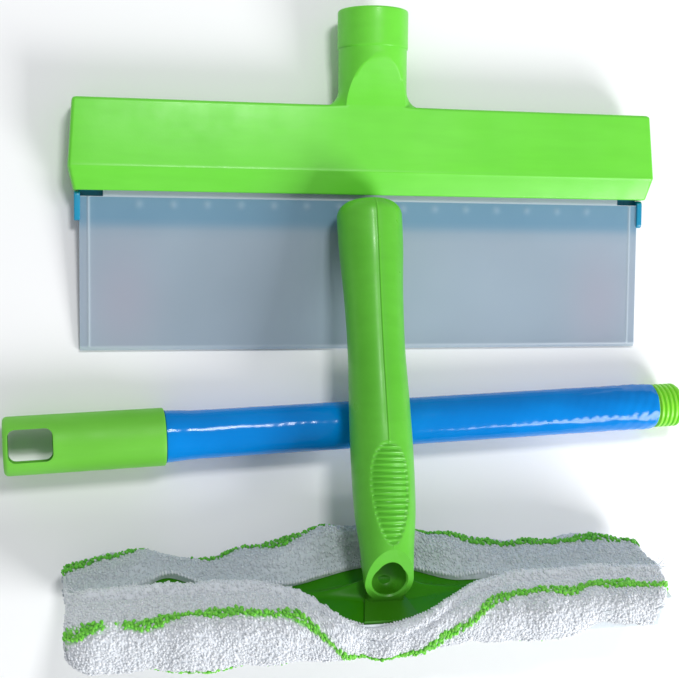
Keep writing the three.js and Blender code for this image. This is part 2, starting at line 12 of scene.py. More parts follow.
import bpy
import numpy as np
from mathutils import Matrix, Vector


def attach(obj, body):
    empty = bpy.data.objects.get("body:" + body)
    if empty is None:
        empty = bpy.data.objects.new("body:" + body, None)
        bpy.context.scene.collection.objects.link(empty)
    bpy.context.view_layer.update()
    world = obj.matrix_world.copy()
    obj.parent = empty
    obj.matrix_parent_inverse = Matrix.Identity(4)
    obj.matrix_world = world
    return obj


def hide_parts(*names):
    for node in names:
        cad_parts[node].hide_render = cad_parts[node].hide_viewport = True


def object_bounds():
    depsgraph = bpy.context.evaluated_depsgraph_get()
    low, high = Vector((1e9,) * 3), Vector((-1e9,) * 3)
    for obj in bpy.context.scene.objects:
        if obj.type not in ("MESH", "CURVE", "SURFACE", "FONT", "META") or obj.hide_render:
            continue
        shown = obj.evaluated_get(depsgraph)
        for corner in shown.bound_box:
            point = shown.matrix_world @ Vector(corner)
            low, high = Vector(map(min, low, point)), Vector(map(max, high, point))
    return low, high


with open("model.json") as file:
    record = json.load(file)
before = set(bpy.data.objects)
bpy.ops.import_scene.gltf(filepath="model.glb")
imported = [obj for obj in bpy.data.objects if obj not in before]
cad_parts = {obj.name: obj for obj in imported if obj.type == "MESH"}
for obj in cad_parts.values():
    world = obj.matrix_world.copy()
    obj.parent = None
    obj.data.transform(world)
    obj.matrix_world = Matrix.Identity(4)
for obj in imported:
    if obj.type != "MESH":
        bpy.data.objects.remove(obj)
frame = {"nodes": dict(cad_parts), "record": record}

CAD_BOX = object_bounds()
MM = 0.001
GAP = 0.3  # millimetres between two pieces that fit together
SEED = 41
Array = np.ndarray
log = logging.getLogger("window_set")


# --- Numbers and places -------------------------------------------------------------------------

def unit(vector: Array) -> Array:
    """The vector at length one."""
    return vector / np.linalg.norm(vector, axis=-1, keepdims=True)


def eased(t: Array) -> Array:
    """A soft step from 0 to 1: three t squared less two t cubed, held outside 0 to 1."""
    held = np.clip(t, 0.0, 1.0)
    return held * held * (3.0 - 2.0 * held)


def hump(t: Array) -> Array:
    """A bell that is 1 at 0 and fades by e to the minus t squared."""
    return np.exp(-t * t)


def drawn_in(distance: Array, radius: float) -> Array:
    """How far a round end has drawn in, from 1 at its tip to 0 one radius away.

    The curve is a quarter circle: one less the root of one less (1 - d / r) squared.
    """
    left = np.clip(1.0 - distance / radius, 0.0, 1.0)
    return 1.0 - np.sqrt(1.0 - left * left)


@dataclass(frozen=True)
class Place:
    """Where an item's own axes stand in the frame.

    Args:
        origin: the item's origin in metres.
        axes: three rows, the item's X, Y and Z in the frame.
    """

    origin: Array
    axes: Array

    def world(self, points: Array) -> Array:
        """Item millimetres as frame metres: the origin plus each coordinate times its axis."""
        return self.origin + points.reshape(-1, 3) @ self.axes * MM

    def local(self, points: Array) -> Array:
        """Frame metres as item millimetres, the way back from world."""
        return (points.reshape(-1, 3) - self.origin) @ self.axes.T / MM

    @staticmethod
    def from_mount(name: str, point: Array, x: Array | None = None, y: Array | None = None) -> "Place":
        """An item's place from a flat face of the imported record.

        Args:
            name: the mount's name.
            point: where the mount lies in the item's own axes, in millimetres.
            x: the mount's axis lies along this share of the item's X.
            y: or along this share of the item's Y, when the item's X is the frame's X.

        Returns:
            The item's place.
        """
        mount = next(m for m in frame["record"]["mounts"] if m["name"] == name)
        axis = unit(np.array(mount["axis"], float))
        if x is not None:
            x_axis = axis * x
            y_axis = unit(np.cross([0.0, 0.0, 1.0], x_axis))
        else:
            x_axis = np.array([1.0, 0.0, 0.0])
            y_axis = axis * y
        axes = np.stack([x_axis, y_axis, np.cross(x_axis, y_axis)])
        return Place(np.array(mount["pos_m"], float) - point @ axes * MM, axes)


# --- Surfaces -----------------------------------------------------------------------------------

class Cap(Enum):
    """How an open ring of points is closed."""

    OPEN = "open"
    FAN = "fan"
    LADDER = "ladder"


class Join(Enum):
    """How a second solid acts on the first."""

    UNION = "UNION"
    CUT = "DIFFERENCE"
    COMMON = "INTERSECT"


@dataclass
class Surface:
    """Points, and the quads and triangles between them, before they become a mesh."""

    points: Array
    quads: Array = field(default_factory=lambda: np.zeros((0, 4), np.int64))
    triangles: Array = field(default_factory=lambda: np.zeros((0, 3), np.int64))

    @staticmethod
    def joined(*parts: "Surface") -> "Surface":
        """Several surfaces as one, each keeping its own faces.

        Args:
            parts: the surfaces.

        Returns:
            One surface that holds them all.
        """
        starts = np.cumsum([0] + [len(p.points) for p in parts])
        return Surface(np.concatenate([p.points for p in parts]),
                       np.concatenate([p.quads + s for p, s in zip(parts, starts)]),
                       np.concatenate([p.triangles + s for p, s in zip(parts, starts)]))

    def volume(self) -> float:
        """Six times the volume that the faces close in, positive when they look outwards."""
        corners = np.concatenate([self.triangles, self.quads[:, [0, 1, 2]], self.quads[:, [0, 2, 3]]])
        a, b, c = (self.points[corners[:, i]] for i in range(3))
        return float(np.einsum("ij,ij->", a, np.cross(b, c)))

    def outward(self) -> "Surface":
        """The same surface with its faces looking outwards."""
        if self.volume() >= 0:
            return self
        return Surface(self.points, self.quads[:, ::-1], self.triangles[:, ::-1])


def ring_quads(rows: int, columns: int) -> Array:
    """Quads between neighbouring rows of a grid whose columns close round on themselves.

    Args:
        rows: rings in the grid.
        columns: points round a ring.

    Returns:
        Four point numbers for each quad.
    """
    index = np.arange(rows * columns).reshape(rows, columns)
    after = np.roll(index, -1, axis=1)
    return np.stack([index[:-1], after[:-1], after[1:], index[1:]], axis=-1).reshape(-1, 4)


def swept(rings: Array, start: Cap = Cap.FAN, end: Cap = Cap.FAN) -> Surface:
    """A closed surface through a stack of rings.

    A fan closes a ring to its middle. A ladder joins each point to its mirror point, k to n - k,
    and suits long thin rings.

    Args:
        rings: rows by columns by three, each row one ring.
        start: how the first ring is closed.
        end: how the last ring is closed.

    Returns:
        The surface, with its faces looking outwards.
    """
    rows, columns = rings.shape[:2]
    points = [rings.reshape(-1, 3)]
    quads, triangles = [ring_quads(rows, columns)], []
    count = rows * columns
    for cap, row, forward in ((start, 0, False), (end, rows - 1, True)):
        ring = np.arange(columns) + row * columns
        order = slice(None) if forward else slice(None, None, -1)
        if cap is Cap.FAN:
            points.append(rings[row].mean(axis=0)[None])
            middle = np.full(columns, count)
            count += 1
            triangles.append(np.stack([ring, np.roll(ring, -1), middle], axis=1)[:, order])
        elif cap is Cap.LADDER:
            k = np.arange(1, columns // 2 - 1)
            rungs = np.stack([k, k + 1, columns - k - 1, columns - k], axis=1) + row * columns
            half = columns // 2
            tips = np.array([[0, 1, columns - 1], [half - 1, half, half + 1]]) + row * columns
            quads.append(rungs[:, order])
            triangles.append(tips[:, order])
    corners = np.concatenate(triangles) if triangles else np.zeros((0, 3), np.int64)
    return Surface(np.concatenate(points), np.concatenate(quads), corners).outward()


def turned(radii: Array, heights: Array, sides: int, lift: Array | float = 0.0) -> Array:
    """Rings turned about the X axis: height along X, radius times cosine and sine in Y and Z.

    Args:
        radii: one radius for each ring.
        heights: where each ring lies along X.
        sides: points round a ring.
        lift: added to the radius, as one number or as rows by sides.

    Returns:
        Rows by sides by three.
    """
    angle = np.linspace(0.0, 2 * math.pi, sides, endpoint=False)
    reach = radii[:, None] + np.zeros(sides) + lift
    return np.stack([heights[:, None] + np.zeros_like(reach), reach * np.cos(angle),
                     reach * np.sin(angle)], axis=-1)


def softened(stations: Array, radius: float, steps: int = 4) -> Array:
    """A path of stations with each inner corner eased by a short parabola.

    Each corner P gives way to the curve (1-t)^2 A + 2t(1-t) P + t^2 B, where A and B lie on its two
    sides, no further off than the radius.

    Args:
        stations: rows of coordinates, of which the first three are lengths.
        radius: the longest reach from a corner.
        steps: points on each curve.

    Returns:
        The rows of the eased path.
    """
    before, corner, after = stations[:-2], stations[1:-1], stations[2:]
    t = np.linspace(0.0, 1.0, steps)[None, :, None]

    def towards(other: Array) -> Array:
        """Where each corner's curve meets its side towards the other station.

        Args:
            other: the stations before or after the corners.

        Returns:
            One point for each corner.
        """
        length = np.linalg.norm((other - corner)[:, :3], axis=1, keepdims=True)
        share = np.minimum(radius / np.maximum(length, 1e-9), 0.45)
        return (corner + (other - corner) * share)[:, None, :]

    middle = corner[:, None, :]
    curve = (1 - t) ** 2 * towards(before) + 2 * t * (1 - t) * middle + t ** 2 * towards(after)
    return np.concatenate([stations[:1], curve.reshape(-1, stations.shape[1]), stations[-1:]])


def rounded_loop(x0: float, x1: float, y0: float, y1: float, radius: float, arc: int = 6) -> Array:
    """A rectangle with round corners: four quarter circles, and the middles of its X sides.

    Args:
        x0: its lowest X.
        x1: its highest X.
        y0: its lowest Y.
        y1: its highest Y.
        radius: of the corners.
        arc: points on each corner.

    Returns:
        Points by two, from the middle of the +X side.
    """
    middle = (y0 + y1) / 2
    angle = np.linspace(0.0, math.pi / 2, arc)
    corners = [(x1 - radius, y1 - radius, 0.0), (x0 + radius, y1 - radius, math.pi / 2),
               (x0 + radius, y0 + radius, math.pi), (x1 - radius, y0 + radius, 1.5 * math.pi)]
    arcs = [np.stack([x + radius * np.cos(angle + turn), y + radius * np.sin(angle + turn)], axis=1)
            for x, y, turn in corners]
    return np.concatenate([[[x1, middle]], arcs[0], arcs[1], [[x0, middle]], arcs[2], arcs[3]])


def at_height(loop: Array, height: float) -> Array:
    """A flat loop as a ring of points at one height."""
    return np.column_stack([loop, np.full(len(loop), height)])


def rounded_block(low: Array, high: Array, corner: float, edge: float) -> Surface:
    """A block with upright corners of one radius and its top and bottom edges of another.

    Each level is the same rounded rectangle, drawn in by the edge radius less its cosine.

    Args:
        low: lowest corner.
        high: highest corner.
        corner: radius of the upright corners, larger than the edge's.
        edge: radius of the top and bottom edges.

    Returns:
        The closed surface.
    """
    angle = np.linspace(-math.pi / 2, 0.0, 5)
    inset = edge * (1 - np.cos(angle))
    rise = edge * (1 + np.sin(angle))
    insets = np.concatenate([inset, inset[::-1]])
    levels = np.concatenate([low[2] + rise, (high[2] - rise)[::-1]])
    rings = [at_height(rounded_loop(low[0] + i, high[0] - i, low[1] + i, high[1] - i, corner - i),
                       level) for i, level in zip(insets, levels)]
    return swept(np.stack(rings), Cap.LADDER, Cap.LADDER)


def tube(path: Array, radius: float, sides: int = 8) -> Surface:
    """A round cord along a path: at each point a circle square to the path's direction.

    Args:
        path: points along its middle.
        radius: of the cord.
        sides: points round it.

    Returns:
        The closed surface.
    """
    along = unit(np.gradient(path, axis=0))
    side = unit(np.cross(along, [0.31, 0.17, 0.93]))
    other = np.cross(along, side)
    angle = np.linspace(0.0, 2 * math.pi, sides, endpoint=False)
    cos, sin = np.cos(angle)[None, :, None], np.sin(angle)[None, :, None]
    circle = cos * side[:, None] + sin * other[:, None]
    return swept(path[:, None] + radius * circle)


def beads(centres: Array, along: Array, across: Array, up: Array) -> Surface:
    """Many small round-cornered grains, each an icosahedron stretched on its own three axes.

    Args:
        centres: where each grain lies.
        along: half of its length, as a vector.
        across: half of its width.
        up: half of its height.

    Returns:
        All the grains as one surface.
    """
    g = (1 + math.sqrt(5)) / 2
    corners = np.array([[-1, g, 0], [1, g, 0], [-1, -g, 0], [1, -g, 0], [0, -1, g], [0, 1, g],
                        [0, -1, -g], [0, 1, -g], [g, 0, -1], [g, 0, 1], [-g, 0, -1], [-g, 0, 1]])
    faces = np.array([[0, 11, 5], [0, 5, 1], [0, 1, 7], [0, 7, 10], [0, 10, 11], [1, 5, 9],
                      [5, 11, 4], [11, 10, 2], [10, 7, 6], [7, 1, 8], [3, 9, 4], [3, 4, 2],
                      [3, 2, 6], [3, 6, 8], [3, 8, 9], [4, 9, 5], [2, 4, 11], [6, 2, 10],
                      [8, 6, 7], [9, 8, 1]])
    grain = unit(corners.astype(float))
    basis = np.stack([along, across, up], axis=1)
    basis[np.linalg.det(basis) < 0, 1] *= -1
    points = centres[:, None] + np.einsum("vk,nkc->nvc", grain, basis)
    starts = np.arange(len(centres))[:, None, None] * len(grain)
    return Surface(points.reshape(-1, 3), triangles=(faces[None] + starts).reshape(-1, 3))


# --- Meshes -------------------------------------------------------------------------------------

def build(name: str, surface: Surface, place: Place, crease: float = 35.0) -> bpy.types.Object:
    """A surface as a Blender object at the origin, shaded smooth up to a crease angle.

    Args:
        name: the piece's name.
        surface: its points and faces, in the item's millimetres.
        place: where the item stands.
        crease: edges sharper than this many degrees stay sharp.

    Returns:
        The new object, linked to the scene.
    """
    mesh = bpy.data.meshes.new(name)
    corners = np.concatenate([surface.quads.ravel(), surface.triangles.ravel()]).astype(np.int32)
    sizes = np.concatenate([np.full(len(surface.quads), 4), np.full(len(surface.triangles), 3)])
    mesh.vertices.add(len(surface.points))
    mesh.vertices.foreach_set("co", place.world(surface.points).astype(np.float32).ravel())
    mesh.loops.add(len(corners))
    mesh.loops.foreach_set("vertex_index", corners)
    mesh.polygons.add(len(sizes))
    mesh.polygons.foreach_set("loop_start", (np.cumsum(sizes) - sizes).astype(np.int32))
    mesh.update(calc_edges=True)
    mesh.validate()
    piece = bpy.data.objects.new(name, mesh)
    bpy.context.scene.collection.objects.link(piece)
    shade(piece, crease)
    return piece


def shade(piece: bpy.types.Object, crease: float) -> None:
    """Smooth shading, with edges over the crease angle kept sharp."""
    piece.data.shade_smooth()
    piece.data.set_sharp_from_angle(angle=math.radians(crease))


def combined(base: bpy.types.Object, tool: bpy.types.Object, how: Join,
             crease: float = 35.0) -> bpy.types.Object:
    """The base joined with or cut by the tool, which is used up.

    Args:
        base: the object that is changed.
        tool: the second solid.
        how: union, cut or common part.
        crease: the crease angle of the result.

    Returns:
        The base, with its new mesh.
    """
    step = base.modifiers.new(how.name.lower(), "BOOLEAN")
    step.operation = how.value
    step.solver = "MANIFOLD"
    step.object = tool
    graph = bpy.context.evaluated_depsgraph_get()
    mesh = bpy.data.meshes.new_from_object(base.evaluated_get(graph))
    base.modifiers.clear()
    base.data = mesh
    bpy.data.objects.remove(tool)
    shade(base, crease)
    return base


def bevelled(piece: bpy.types.Object, width: float, angle: float) -> None:
    """A small round on each sharp edge.

    Args:
        piece: the object that is changed.
        width: of the round, in millimetres.
        angle: edges sharper than this many degrees are rounded.
    """
    step = piece.modifiers.new("round", "BEVEL")
    step.width = width * MM
    step.segments = 3
    step.limit_method = "ANGLE"
    step.angle_limit = math.radians(angle)
    step.use_clamp_overlap = True
    graph = bpy.context.evaluated_depsgraph_get()
    mesh = bpy.data.meshes.new_from_object(piece.evaluated_get(graph))
    piece.modifiers.clear()
    piece.data = mesh
    shade(piece, 40.0)


def numbered(piece: bpy.types.Object, name: str, values: Array) -> None:
    """Stores one number for each point of the mesh, for its material to read."""
    attribute = piece.data.attributes.new(name, "FLOAT", "POINT")
    attribute.data.foreach_set("value", values.astype(np.float32).ravel())


def settle(piece: bpy.types.Object, finish: "Finish", body: str, slot: str,
           *nodes: str) -> bpy.types.Object:
    """Dresses a piece, hangs it on the body that it rides on, and hides the CAD nodes that it stands
    for.

    Args:
        piece: the finished mesh object.
        finish: what it is made of.
        body: the body that it rides on.
        slot: the record's material slot; not used.
        nodes: the CAD nodes that it stands for.

    Returns:
        The same piece.
    """
    piece.data.materials.clear()
    piece.data.materials.append(finish.material())
    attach(piece, body)
    if nodes:
        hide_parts(*nodes)
    log.info("%s: %d faces on %s", piece.name, len(piece.data.polygons), body)
    return piece


# --- Finishes -----------------------------------------------------------------------------------

class Shading:
    """A new material's node tree, with short calls to add and link nodes."""

    def __init__(self, name: str) -> None:
        """Starts a material with one Principled shader.

        Args:
            name: the material's name.
        """
        self.material = bpy.data.materials.new(name)
        self.material.use_nodes = True
        self.tree = self.material.node_tree
        self.shader = self.tree.nodes["Principled BSDF"]
        self.where = self.tree.nodes.new("ShaderNodeTexCoord").outputs["Object"]

    def set(self, **values: float | tuple) -> None:
        """Sets sockets of the shader by name, with _ for a space."""
        for name, value in values.items():
            self.shader.inputs[name.replace("_", " ")].default_value = value

    def noise(self, size: float, detail: float = 2.0,
              stretch: tuple = (1, 1, 1)) -> bpy.types.NodeSocket:
        """Soft noise on the piece's own coordinates.

        Args:
            size: of its features, in millimetres.
            detail: how many finer layers are added.
            stretch: how much longer the features are along X, Y and Z.

        Returns:
            The noise, from 0 to 1.
        """
        mapping = self.tree.nodes.new("ShaderNodeMapping")
        mapping.inputs["Scale"].default_value = tuple(1 / s for s in stretch)
        self.tree.links.new(self.where, mapping.inputs["Vector"])
        node = self.tree.nodes.new("ShaderNodeTexNoise")
        node.inputs["Scale"].default_value = 1 / (size * MM)
        node.inputs["Detail"].default_value = detail
        self.tree.links.new(mapping.outputs["Vector"], node.inputs["Vector"])
        return node.outputs["Fac"]

    def number(self, name: str) -> bpy.types.NodeSocket:
        """A number that the mesh holds for each point.

        Args:
            name: of the stored number.

        Returns:
            Its socket.
        """
        node = self.tree.nodes.new("ShaderNodeAttribute")
        node.attribute_name = name
        return node.outputs["Fac"]

    def between(self, value: bpy.types.NodeSocket, low: float, high: float, to_low: float,
                to_high: float) -> bpy.types.NodeSocket:
        """The value moved from one range to another, and held inside it.

        Args:
            value: what is moved.
            low: becomes to_low.
            high: becomes to_high.
            to_low: the new range's start.
            to_high: its end.

        Returns:
            The moved value.
        """
        node = self.tree.nodes.new("ShaderNodeMapRange")
        self.tree.links.new(value, node.inputs["Value"])
        for socket, amount in zip(("From Min", "From Max", "To Min", "To Max"),
                                  (low, high, to_low, to_high)):
            node.inputs[socket].default_value = amount
        return node.outputs["Result"]

    def mixed(self, share: bpy.types.NodeSocket, first: object, second: object,
              blend: str = "MIX") -> bpy.types.NodeSocket:
        """Two colours mixed.

        Args:
            share: how much of the second is taken.
            first: a socket, or red, green and blue.
            second: the same.
            blend: how they mix.

        Returns:
            The mixed colour.
        """
        node = self.tree.nodes.new("ShaderNodeMix")
        node.data_type = "RGBA"
        node.blend_type = blend
        self.tree.links.new(share, node.inputs["Factor"])
        for socket, colour in ((node.inputs[6], first), (node.inputs[7], second)):
            if isinstance(colour, bpy.types.NodeSocket):
                self.tree.links.new(colour, socket)
            else:
                socket.default_value = (*colour, 1.0)
        return node.outputs[2]

    def link(self, value: bpy.types.NodeSocket, name: str) -> None:
        """Feeds a value to the shader's socket of that name."""
        self.tree.links.new(value, self.shader.inputs[name])

    def bump(self, height: bpy.types.NodeSocket, depth: float, strength: float = 1.0) -> None:
        """Adds relief after any that is there already.

        Args:
            height: the relief, from 0 to 1.
            depth: how deep it is at 1, in millimetres.
            strength: share of it that shows.
        """
        node = self.tree.nodes.new("ShaderNodeBump")
        node.inputs["Strength"].default_value = strength
        node.inputs["Distance"].default_value = depth * MM
        self.tree.links.new(height, node.inputs["Height"])
        normal = self.shader.inputs["Normal"]
        if normal.is_linked:
            self.tree.links.new(normal.links[0].from_socket, node.inputs["Normal"])
        self.tree.links.new(node.outputs["Normal"], normal)


class Finish:
    """What every finish can do."""

    def material(self) -> bpy.types.Material:
        """The Blender material of this finish."""
        raise NotImplementedError


@dataclass(frozen=True)
class MouldedPlastic(Finish):
    """Injection-moulded plastic: a faint cloudiness, flow streaks, and a skin of fine relief.

    Args:
        name: the material's name.
        colour: linear red, green and blue.
        cloud: the colour that the cloudiness leans to.
        roughness: of the clean surface.
        coat: strength of the gloss on top.
        grain: size of the fine relief in millimetres.
        depth: its depth in millimetres.
        glow: how much light goes a little way in.
        shine: strength of the plain reflection.
        deep: the colour of painted shade, towards which the stored deep number leads, when there is
            one.
    """

    name: str
    colour: tuple
    cloud: tuple
    roughness: float = 0.35
    coat: float = 0.05
    grain: float = 0.9
    depth: float = 0.02
    glow: float = 0.08
    shine: float = 0.3
    deep: tuple | None = None

    def material(self) -> bpy.types.Material:
        """Colour from two soft noises, roughness from smudges, relief from fine grain."""
        look = Shading(self.name)
        clouds = look.between(look.noise(38, 3), 0.35, 0.7, 0.0, 1.0)
        streaks = look.between(look.noise(5, 4, (6, 1, 1)), 0.4, 0.75, 0.0, 0.35)
        base = look.mixed(clouds, self.colour, self.cloud)
        base = look.mixed(streaks, base, tuple(c * 0.86 for c in self.colour))
        # Painted shade: the stored deep number leads to a darker colour where shade falls.
        if self.deep:
            base = look.mixed(look.number("deep"), base, self.deep)
        look.link(base, "Base Color")
        smudges = look.noise(14, 4)
        look.link(look.between(smudges, 0.3, 0.75, self.roughness - 0.05, self.roughness + 0.12),
                  "Roughness")
        look.set(Coat_Weight=self.coat, Coat_Roughness=0.1, Subsurface_Weight=self.glow,
                 Subsurface_Radius=(0.6, 1.0, 0.3), Subsurface_Scale=0.0015,
                 Specular_IOR_Level=self.shine)
        look.bump(look.noise(self.grain, 3), self.depth)
        look.bump(look.noise(9, 1), 0.03)
        return look.material


@dataclass(frozen=True)
class MilkySilicone(Finish):
    """Translucent rubber, clearer over the white bench and tinted where the holder backs it, with a
    painted warm reflection near its ends and a painted highlight along its edges.
    """

    name: str = "milky_silicone"
    clear: tuple = (0.37, 0.46, 0.55)
    # Painted reflection: a warm pink that stands for warm light reflected near the blade's ends.
    painted_warm_reflection: tuple = (0.44, 0.40, 0.49)
    backed: tuple = (0.10, 0.29, 0.44)
    # Painted highlight: the paler colour along the blade's edges, over its beads and pegs and along
    # its shoulder.
    pale: tuple = (0.58, 0.67, 0.74)

    def material(self) -> bpy.types.Material:
        """Colour from the stored backing tint, the painted warm reflection and the edge number's
        painted highlight, with a faint bloom and fine scratches.
        """
        look = Shading(self.name)
        body = look.mixed(look.between(look.noise(70, 1), 0.4, 0.65, 0.0, 0.6), self.clear,
                          tuple(c * 0.9 for c in self.clear))
        # Painted reflection near the blade's ends.
        body = look.mixed(look.number("painted_warm_reflection"), body, self.painted_warm_reflection)
        body = look.mixed(look.number("backed"), body, self.backed)
        # Painted highlight by the stored edge number.
        body = look.mixed(look.number("edge"), body, self.pale)
        look.link(body, "Base Color")
        look.link(look.between(look.noise(20, 4), 0.3, 0.7, 0.30, 0.46), "Roughness")
        look.set(Transmission_Weight=0.15, IOR=1.41, Subsurface_Weight=0.35,
                 Subsurface_Radius=(1.0, 1.0, 1.1), Subsurface_Scale=0.002, Coat_Weight=0.08,
                 Coat_Roughness=0.3)
        look.bump(look.noise(0.7, 2, (1, 9, 1)), 0.012)
        look.bump(look.noise(30, 2), 0.12)
        return look.material


@dataclass(frozen=True)
class ShrunkFilm(Finish):
    """Thin glossy film drawn tight over a tube, with small puckers near its ends."""

    name: str = "shrunk_blue_film"
    colour: tuple = (0.0, 0.24, 0.72)
    deep: tuple = (0.0, 0.19, 0.60)
    roughness: float = 0.08

    def material(self) -> bpy.types.Material:
        """Two blues by a long soft noise, high gloss and a slight waviness along the tube."""
        look = Shading(self.name)
        look.link(look.mixed(look.between(look.noise(45, 2), 0.4, 0.65, 0.0, 1.0), self.colour,
                             self.deep), "Base Color")
        look.link(look.between(look.noise(10, 3), 0.3, 0.8, self.roughness, self.roughness + 0.1),
                  "Roughness")
        look.set(Coat_Weight=0.05, Coat_Roughness=0.05, Specular_IOR_Level=0.18)
        look.bump(look.noise(6, 2, (5, 1, 1)), 0.03)
        look.bump(look.noise(1.4, 2), 0.006)
        return look.material


@dataclass(frozen=True)
class PlainSteel(Finish):
    """Drawn steel tube with fine lines along its length."""

    name: str = "drawn_steel"
    colour: tuple = (0.60, 0.61, 0.63)

    def material(self) -> bpy.types.Material:
        """Metal with roughness and relief from noise stretched along the tube."""
        look = Shading(self.name)
        lines = look.noise(0.6, 3, (30, 1, 1))
        look.link(look.mixed(look.noise(12, 3), self.colour, tuple(c * 0.8 for c in self.colour)),
                  "Base Color")
        look.link(look.between(lines, 0.3, 0.7, 0.22, 0.42), "Roughness")
        look.set(Metallic=1.0)
        look.bump(lines, 0.01)
        return look.material


@dataclass(frozen=True)
class Terry(Finish):
    """Looped cotton: white or green by the stored stripe, with painted shade between the loops and
    from the stored shade number.
    """

    name: str = "terry_cloth"
    white: tuple = (0.86, 0.88, 0.93)
    # The duller white and the dark green are where low shade numbers lead: random tone, and painted
    # shade on the back half and in the pocket.
    painted_shade_white: tuple = (0.56, 0.62, 0.66)
    green: tuple = (0.24, 0.78, 0.085)
    dark_green: tuple = (0.06, 0.34, 0.025)

    def material(self) -> bpy.types.Material:
        """Colour from the stripe number and the shade number, which holds random tone and painted
        shade, sheen, and a fuzz of fine relief that also paints shade between the loops.
        """
        look = Shading(self.name)
        tone_and_painted_shade = look.number("shade")
        fuzz = look.noise(0.8, 3)
        white = look.mixed(tone_and_painted_shade, self.painted_shade_white, self.white)
        green = look.mixed(tone_and_painted_shade, self.dark_green, self.green)
        colour = look.mixed(look.number("stripe"), white, green)
        # Painted shade: the fuzz noise darkens the colour between the loops.
        look.link(look.mixed(look.between(fuzz, 0.35, 0.7, 0.22, 0.0), colour, (0.55, 0.6, 0.62),
                             "MULTIPLY"), "Base Color")
        look.set(Roughness=0.95, Sheen_Weight=0.2, Sheen_Roughness=0.5, Subsurface_Weight=0.5,
                 Subsurface_Radius=(1.0, 1.0, 1.0), Subsurface_Scale=0.002,
                 Specular_IOR_Level=0.1)
        look.bump(fuzz, 0.1, 0.6)
        look.bump(look.noise(0.3, 2), 0.05)
        return look.material


@dataclass(frozen=True)
class Bench(Finish):
    """The pale surface under the set."""

    name: str = "pale_bench"
    colour: tuple = (0.93, 0.93, 0.94)

    def material(self) -> bpy.types.Material:
        """A matt pale colour with a breath of unevenness."""
        look = Shading(self.name)
        look.link(look.mixed(look.noise(160, 2), self.colour, tuple(c * 0.985 for c in self.colour)),
                  "Base Color")
        look.set(Roughness=0.8)
        return look.material


GREEN = MouldedPlastic("spring_green_plastic", (0.150, 0.66, 0.045), (0.17, 0.70, 0.055), 0.33)
# The deep colour is painted shade, low on the neck and foot and inside the opening.
HANDLE_GREEN = MouldedPlastic("handle_green_plastic", (0.105, 0.47, 0.030), (0.125, 0.52, 0.040), 0.32,
                              deep=(0.030, 0.17, 0.004))
CAP_GREEN = MouldedPlastic("cap_green_plastic", (0.155, 0.55, 0.045), (0.18, 0.60, 0.06), 0.46, 0.0,
                           0.6, 0.03)
# The bar's dark green is painted shade: a shaded copy of the green plastic.
BAR_GREEN_IN_PAINTED_SHADE = MouldedPlastic("bar_green_painted_shade", (0.024, 0.19, 0.002), (0.034, 0.23, 0.003), 0.3, 0.0,
                           shine=0.12)
THREAD_GREEN = MouldedPlastic("thread_green_plastic", (0.24, 0.72, 0.040), (0.27, 0.78, 0.05), 0.3)
BLUE = MouldedPlastic("holder_blue_plastic", (0.01, 0.25, 0.43), (0.015, 0.30, 0.50), 0.3, 0.1)


# --- Squeegee head ------------------------------------------------------------------------------

